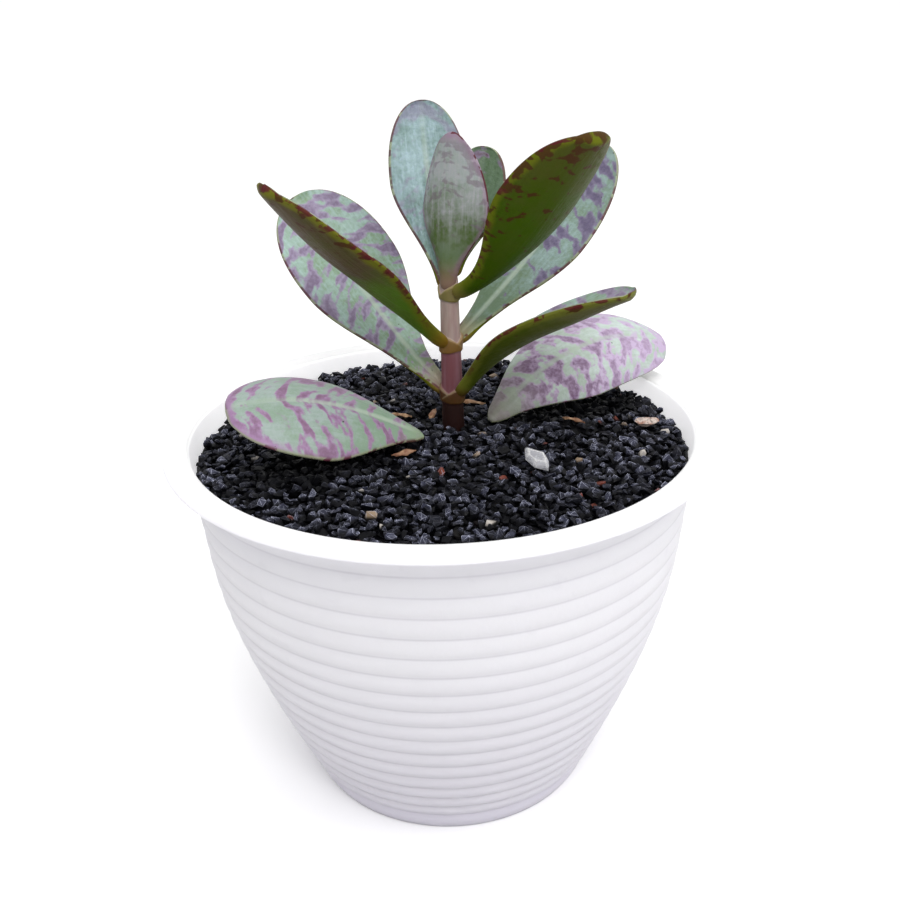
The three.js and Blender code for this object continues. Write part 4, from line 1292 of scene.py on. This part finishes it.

# ---- Grit ---------------------------------------------------------------------
# Crushed black volcanic stone, sieved to 2 to 4 mm, poured on top of the mix until
# it hid it. It is loose: an upper and a lower layer of separate stones follow the
# heaps of the solid, over a bed of the same dark grit, painted black as shade.

stone_kinds = 24
stone_corners = 14
stone_reach = mouth_radius - 1.0
upper_spacing = 2.3
lower_spacing = 2.4
lower_depth = 1.7
bed_depth = 2.6
stone_size = 1.4
stone_tilt = 0.55
stone_size_spread = 0.32
stone_size_least = 0.75
stone_size_most = 2.3
stone_jitter = 0.24
stone_sink = 0.3
stone_clearance = 0.85
stone_overlap_most = 0.35


def surface(piece):
    """The piece's faces, for finding where a ray meets them or which point is nearest."""
    mesh = piece.data
    return BVHTree.FromPolygons([vertex.co for vertex in mesh.vertices],
                                [polygon.vertices for polygon in mesh.polygons])


heaps = surface(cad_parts["grit"])


def heap_height(x, y):
    """Height of the solid grit's rough top, without its pits."""
    level = grit_height(math.hypot(x, y))
    hit = heaps.ray_cast(Vector((x, y, pot_height + 20)) * MM, Vector((0, 0, -1)))[0]
    if hit is None:
        return level
    return max(hit.z / MM, level - 1.2)


def stone_shapes(chance):
    """Crushed stones: the hulls of a few scattered corners, so every face is flat. Each
    face has a corner in its middle too, which tells the finish how near an edge is."""
    shapes = []
    for _ in range(stone_kinds):
        corners = chance.normal(size=(stone_corners, 3))
        corners /= np.linalg.norm(corners, axis=1)[:, None]
        corners *= chance.uniform(0.8, 1.12, (stone_corners, 1))
        corners *= np.array([1.2, 0.95, chance.uniform(0.5, 0.8)])
        hull = hull_of(corners)
        bmesh.ops.triangulate(hull, faces=hull.faces)
        edge = poke_faces(hull)
        shapes.append((np.array([vertex.co for vertex in hull.verts]), edge,
                       np.array([[vertex.index for vertex in face.verts] for face in hull.faces])))
        hull.free()
    return shapes


def stone_places(chance, spacing, depth):
    """Centres and sizes of one layer of stones, on a jittered lattice."""
    centres = []
    sizes = []
    row_gap = spacing * math.sqrt(3) / 2
    count = int(stone_reach / row_gap) + 2
    for row in range(-count, count):
        for column in range(-count, count):
            x = (column + 0.5 * (row % 2)) * spacing + chance.normal(0, spacing * stone_jitter)
            y = row * row_gap + chance.normal(0, spacing * stone_jitter)
            size = np.clip(stone_size * math.exp(chance.normal(0, stone_size_spread)),
                           stone_size_least, stone_size_most)
            sink = chance.normal(0, stone_sink)
            if math.hypot(x, y) > stone_reach - size * 0.8:
                continue
            centres.append((x, y, heap_height(x, y) - 0.5 * size - depth + sink))
            sizes.append(size)
    return np.array(centres), np.array(sizes)


shade_rays = 24
shade_from_behind = 0.7
shade_spread = 0.85
shade_start = 1.5
golden_angle = 2.39996
low_leaves = [blades["leaf_low_left"], blades["leaf_low_right"]]
low_leaf_trees = [surface(blade) for blade in low_leaves]


def leaf_shade(place):
    """Share of the sky, above and behind, that the two low leaves hide from a stone."""
    start = Vector(place) * MM + Vector((0, 0, shade_start)) * MM
    hidden = 0
    for ray in range(shade_rays):
        flat = math.sqrt((ray + 0.5) / shade_rays) * shade_spread
        angle = ray * golden_angle
        towards = Vector((flat * math.cos(angle), flat * math.sin(angle) + shade_from_behind,
                          math.sqrt(1 - flat * flat)))
        hidden += any(tree.ray_cast(start, towards)[0] is not None for tree in low_leaf_trees)
    return hidden / shade_rays


def cleared(centres, sizes):
    """Stones give way to the leaves and bits that lie on them and to the stem."""
    lying = [*low_leaves, stem] + [piece for piece, _, _ in bits.values()]
    trees = [surface(piece) for piece in lying]
    keep = np.ones(len(centres), bool)
    for index, (centre, size) in enumerate(zip(centres, sizes)):
        for tree in trees:
            point = Vector(centre) * MM
            near, normal, _, distance = tree.find_nearest(point, 6 * MM)
            if near is None:
                continue
            inside = (point - near).dot(normal) < 0
            gap = -distance if inside else distance
            overlap = size * stone_clearance - gap / MM
            if overlap > 0 and normal.z < -0.2:
                centres[index, 2] -= overlap / max(-normal.z, 0.5)
            elif overlap > stone_overlap_most * size:
                keep[index] = False
    return centres[keep], sizes[keep]


def stone_piece(label, chance, shapes, centres, sizes):
    """One piece of many stones, each turned at random, with a tone of its own."""
    points, faces, draws, sunk, shade = [], [], [], [], []
    start = 0
    for centre, size in zip(centres, sizes):
        corners, edge, sides = shapes[chance.integers(stone_kinds)]
        lean_x, lean_y = chance.normal(0, stone_tilt, 2)
        turn = Euler((lean_x, lean_y, chance.uniform(0, 2 * math.pi)), "ZXY").to_matrix()
        points.append(corners @ np.array(turn).T * size + centre)
        faces.append(sides + start)
        tone, odd = chance.uniform(0, 1, 2)
        draws.append(np.stack([np.full(len(corners), tone), np.full(len(corners), odd), edge], -1))
        sunk.append(heap_height(centre[0], centre[1]) - points[-1][:, 2])
        shade.append(np.full(len(corners), leaf_shade(centre)))
        start += len(corners)
    piece = mesh_piece(label, np.concatenate(points), np.concatenate(faces))
    store(piece, "stone", np.concatenate(draws))
    sunk = np.concatenate(sunk)
    store(piece, "sunk", np.stack([sunk, np.concatenate(shade), 0 * sunk], -1))
    smooth(piece, 22)
    return piece


def grit_stones():
    """The upper layer and the lower layer, each in two halves."""
    chance = np.random.default_rng(12)
    shapes = stone_shapes(chance)
    pieces = []
    for label, spacing, depth in (("grit_stones_upper", upper_spacing, 0),
                                  ("grit_stones_lower", lower_spacing, lower_depth)):
        centres, sizes = cleared(*stone_places(chance, spacing, depth))
        for side, chosen in (("left", centres[:, 0] < 0), ("right", centres[:, 0] >= 0)):
            pieces.append(stone_piece(f"{label}_{side}", chance, shapes,
                                      centres[chosen], sizes[chosen]))
    return pieces


def grit_bed():
    """The dark, lumpy grit below the loose stones, out to the wall, painted black as shade."""
    chance = np.random.default_rng(3)
    rings, spokes = 60, 160
    radius = (mouth_radius - 0.35) * (np.arange(1, rings + 1) / rings)[:, None]
    angles = np.linspace(0, 2 * math.pi, spokes, endpoint=False)[None, :]
    lumps = chance.normal(0, 0.35, (rings, spokes))
    top = np.stack([radius * np.cos(angles), radius * np.sin(angles),
                    grit_height(radius) - bed_depth + lumps], -1).reshape(-1, 3)
    under = top.copy()
    under[:, 2] = grit_edge - 10
    under[:, :2] *= 0.985
    points = np.concatenate([top, under])
    grid = ring_quads(rings, spokes)[:, [0, 3, 2, 1]]
    spoke = np.arange(spokes)
    following = (spoke + 1) % spokes
    last = (rings - 1) * spokes
    wall = np.stack([last + spoke, rings * spokes + last + spoke,
                     rings * spokes + last + following, last + following], -1)
    piece = mesh_piece("grit_bed", points,
                       np.concatenate([grid, grid[:, ::-1] + rings * spokes, wall]))
    close_piece(piece)
    store(piece, "stone", np.tile((0.0, 0.5, 0.0), (len(piece.data.vertices), 1)))
    # The bed lies deep, so the finish paints it all black: painted shade.
    store(piece, "sunk", np.tile((9.0, 0.0, 0.0), (len(piece.data.vertices), 1)))
    smooth(piece, 60)
    return piece


stone_black = (0.003, 0.003, 0.004, 1)
stone_slate = (0.036, 0.038, 0.062, 1)
stone_ash = (0.115, 0.120, 0.170, 1)
stone_painted_glint = (0.66, 0.68, 0.84, 1)
stone_rust = (0.16, 0.04, 0.025, 1)
stone_tan = (0.26, 0.19, 0.13, 1)
stone_cream = (0.48, 0.44, 0.40, 1)


def black_grit():
    """Blue-black stone with dusty faces and painted glints along its edges, painted black
    as shade down between the stones and as shadow under the two low leaves; a few stones
    are rusty, tan or cream."""
    material, tree, shader = finish_named("black grit")
    place = object_place(tree)
    _, tone, odd, edge = kept(tree, "stone")
    _, sunk, shade, _ = kept(tree, "sunk")
    blotch = placed(tree, patches, Place=place, Scale=500, Detail=4, Low=0.4, High=0.65)
    pits = placed(tree, patches, Place=place, Scale=1800, Detail=4)
    colour = tint(tree, rising(tree, tone, 0.0, 1.0, 0.15, 1.0), stone_black, stone_slate)
    dusty = times(tree, blotch["Mask"], rising(tree, tone, 0.45, 1.0, 0, 0.6))
    colour = tint(tree, dusty, colour, stone_ash)
    for least, odd_colour in ((0.974, stone_rust), (0.987, stone_tan), (0.9945, stone_cream)):
        colour = tint(tree, sums(tree, "GREATER_THAN", odd, least), colour, odd_colour)
    # Near-white along the stones' edges, broken up by the blotches: painted glints.
    worn = times(tree, rising(tree, edge, 0.9, 0.98), rising(tree, blotch["Height"], 0.36, 0.52))
    painted_glint = times(tree, worn, rising(tree, tone, 0.1, 0.9, 0.15, 0.95))
    colour = tint(tree, painted_glint, colour, stone_painted_glint)
    # Painted shade: black down between the stones, by how far each point lies below the heap's top.
    colour = tint(tree, rising(tree, sunk, -0.4, 0.6, 0, 0.98), colour, stone_black)
    # Painted shadow: black where the two low leaves hide the sky from a stone.
    painted_leaf_shadow = rising(tree, shade, 0.12, 0.6, 0, 0.98)
    colour = tint(tree, painted_leaf_shadow, colour, stone_black)
    grainy = bumped(tree, pits["Height"], 0.4, 0.0003)
    fill(tree, shader, {
        "Base Color": colour, "Normal": bumped(tree, blotch["Height"], 0.25, 0.0008, grainy),
        "Roughness": rising(tree, blotch["Height"], 0.3, 0.7, 0.22, 0.5),
        "IOR": 1.5, "Specular IOR Level": 0.08,
    })
    return material


grit_finish = black_grit()
for piece in [*grit_stones(), grit_bed()]:
    piece.data.materials.append(grit_finish)
    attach(piece, "root")
    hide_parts("grit")

# ---- Floor and light ----------------------------------------------------------
# A white table under soft studio light: an even pale surround, a soft beam from
# overhead, and two broad lamps, one on the right and one high in front.

floor_size = 60
floor_white = (0.95, 0.95, 0.95, 1)
floor_glow = 0.04
floor_returned = (0.68, 0.68, 0.69, 1)
overhead_strength = 1.0
horizon_strength = 0.6
beam_from = Vector((0.03, 0.0, 1.0))
beam_strength = 0.5
beam_spread = math.radians(40)
side_lamp_watts = 2.4
front_lamp_watts = 5.0

bpy.ops.mesh.primitive_plane_add(size=floor_size, location=(0, 0, 0))
floor = bpy.context.object
floor.name = "floor"
floor_finish, floor_tree, floor_shader = finish_named("table white")
seen = node(floor_tree, "ShaderNodeLightPath").outputs["Is Camera Ray"]
fill(floor_tree, floor_shader, {
    "Base Color": tint(floor_tree, seen, floor_returned, floor_white),
    "Emission Strength": times(floor_tree, seen, floor_glow), "Emission Color": (1, 1, 1, 1),
    "Roughness": 0.9, "Specular IOR Level": 0.2,
})
floor.data.materials.append(floor_finish)


def lamp(name, place, size, watts):
    """A square soft lamp that faces the pot's rim."""
    light = bpy.data.lights.new(name, "AREA")
    light.size = size
    light.energy = watts
    lamp_object = bpy.data.objects.new(name, light)
    lamp_object.location = place
    aim = Vector((0, 0, 0.12)) - Vector(place)
    lamp_object.rotation_euler = aim.to_track_quat("-Z", "Y").to_euler()
    bpy.context.scene.collection.objects.link(lamp_object)


lamp("side lamp", (0.85, -0.35, 0.7), 0.5, side_lamp_watts)
lamp("front lamp", (0.1, -0.75, 1.0), 0.4, front_lamp_watts)

beam_light = bpy.data.lights.new("beam", "SUN")
beam_light.energy = beam_strength
beam_light.angle = beam_spread
beam = bpy.data.objects.new("beam", beam_light)
beam.rotation_euler = beam_from.to_track_quat("Z", "Y").to_euler()
bpy.context.scene.collection.objects.link(beam)

world = bpy.data.worlds.new("pale surround")
world.use_nodes = True
sky = world.node_tree
surround = sky.nodes["Background"]
direction = node(sky, "ShaderNodeTexCoord").outputs["Generated"]
height = node(sky, "ShaderNodeSeparateXYZ", {0: direction}).outputs[2]
surround.inputs["Color"].default_value = (1, 1, 1, 1)
in_picture = node(sky, "ShaderNodeLightPath").outputs["Is Camera Ray"]
evenly = rising(sky, height, 0.0, 0.9, horizon_strength, overhead_strength)
sky.links.new(sums(sky, "MAXIMUM", in_picture, evenly), surround.inputs["Strength"])
bpy.context.scene.world = world
bpy.context.scene.view_settings.view_transform = "Standard"
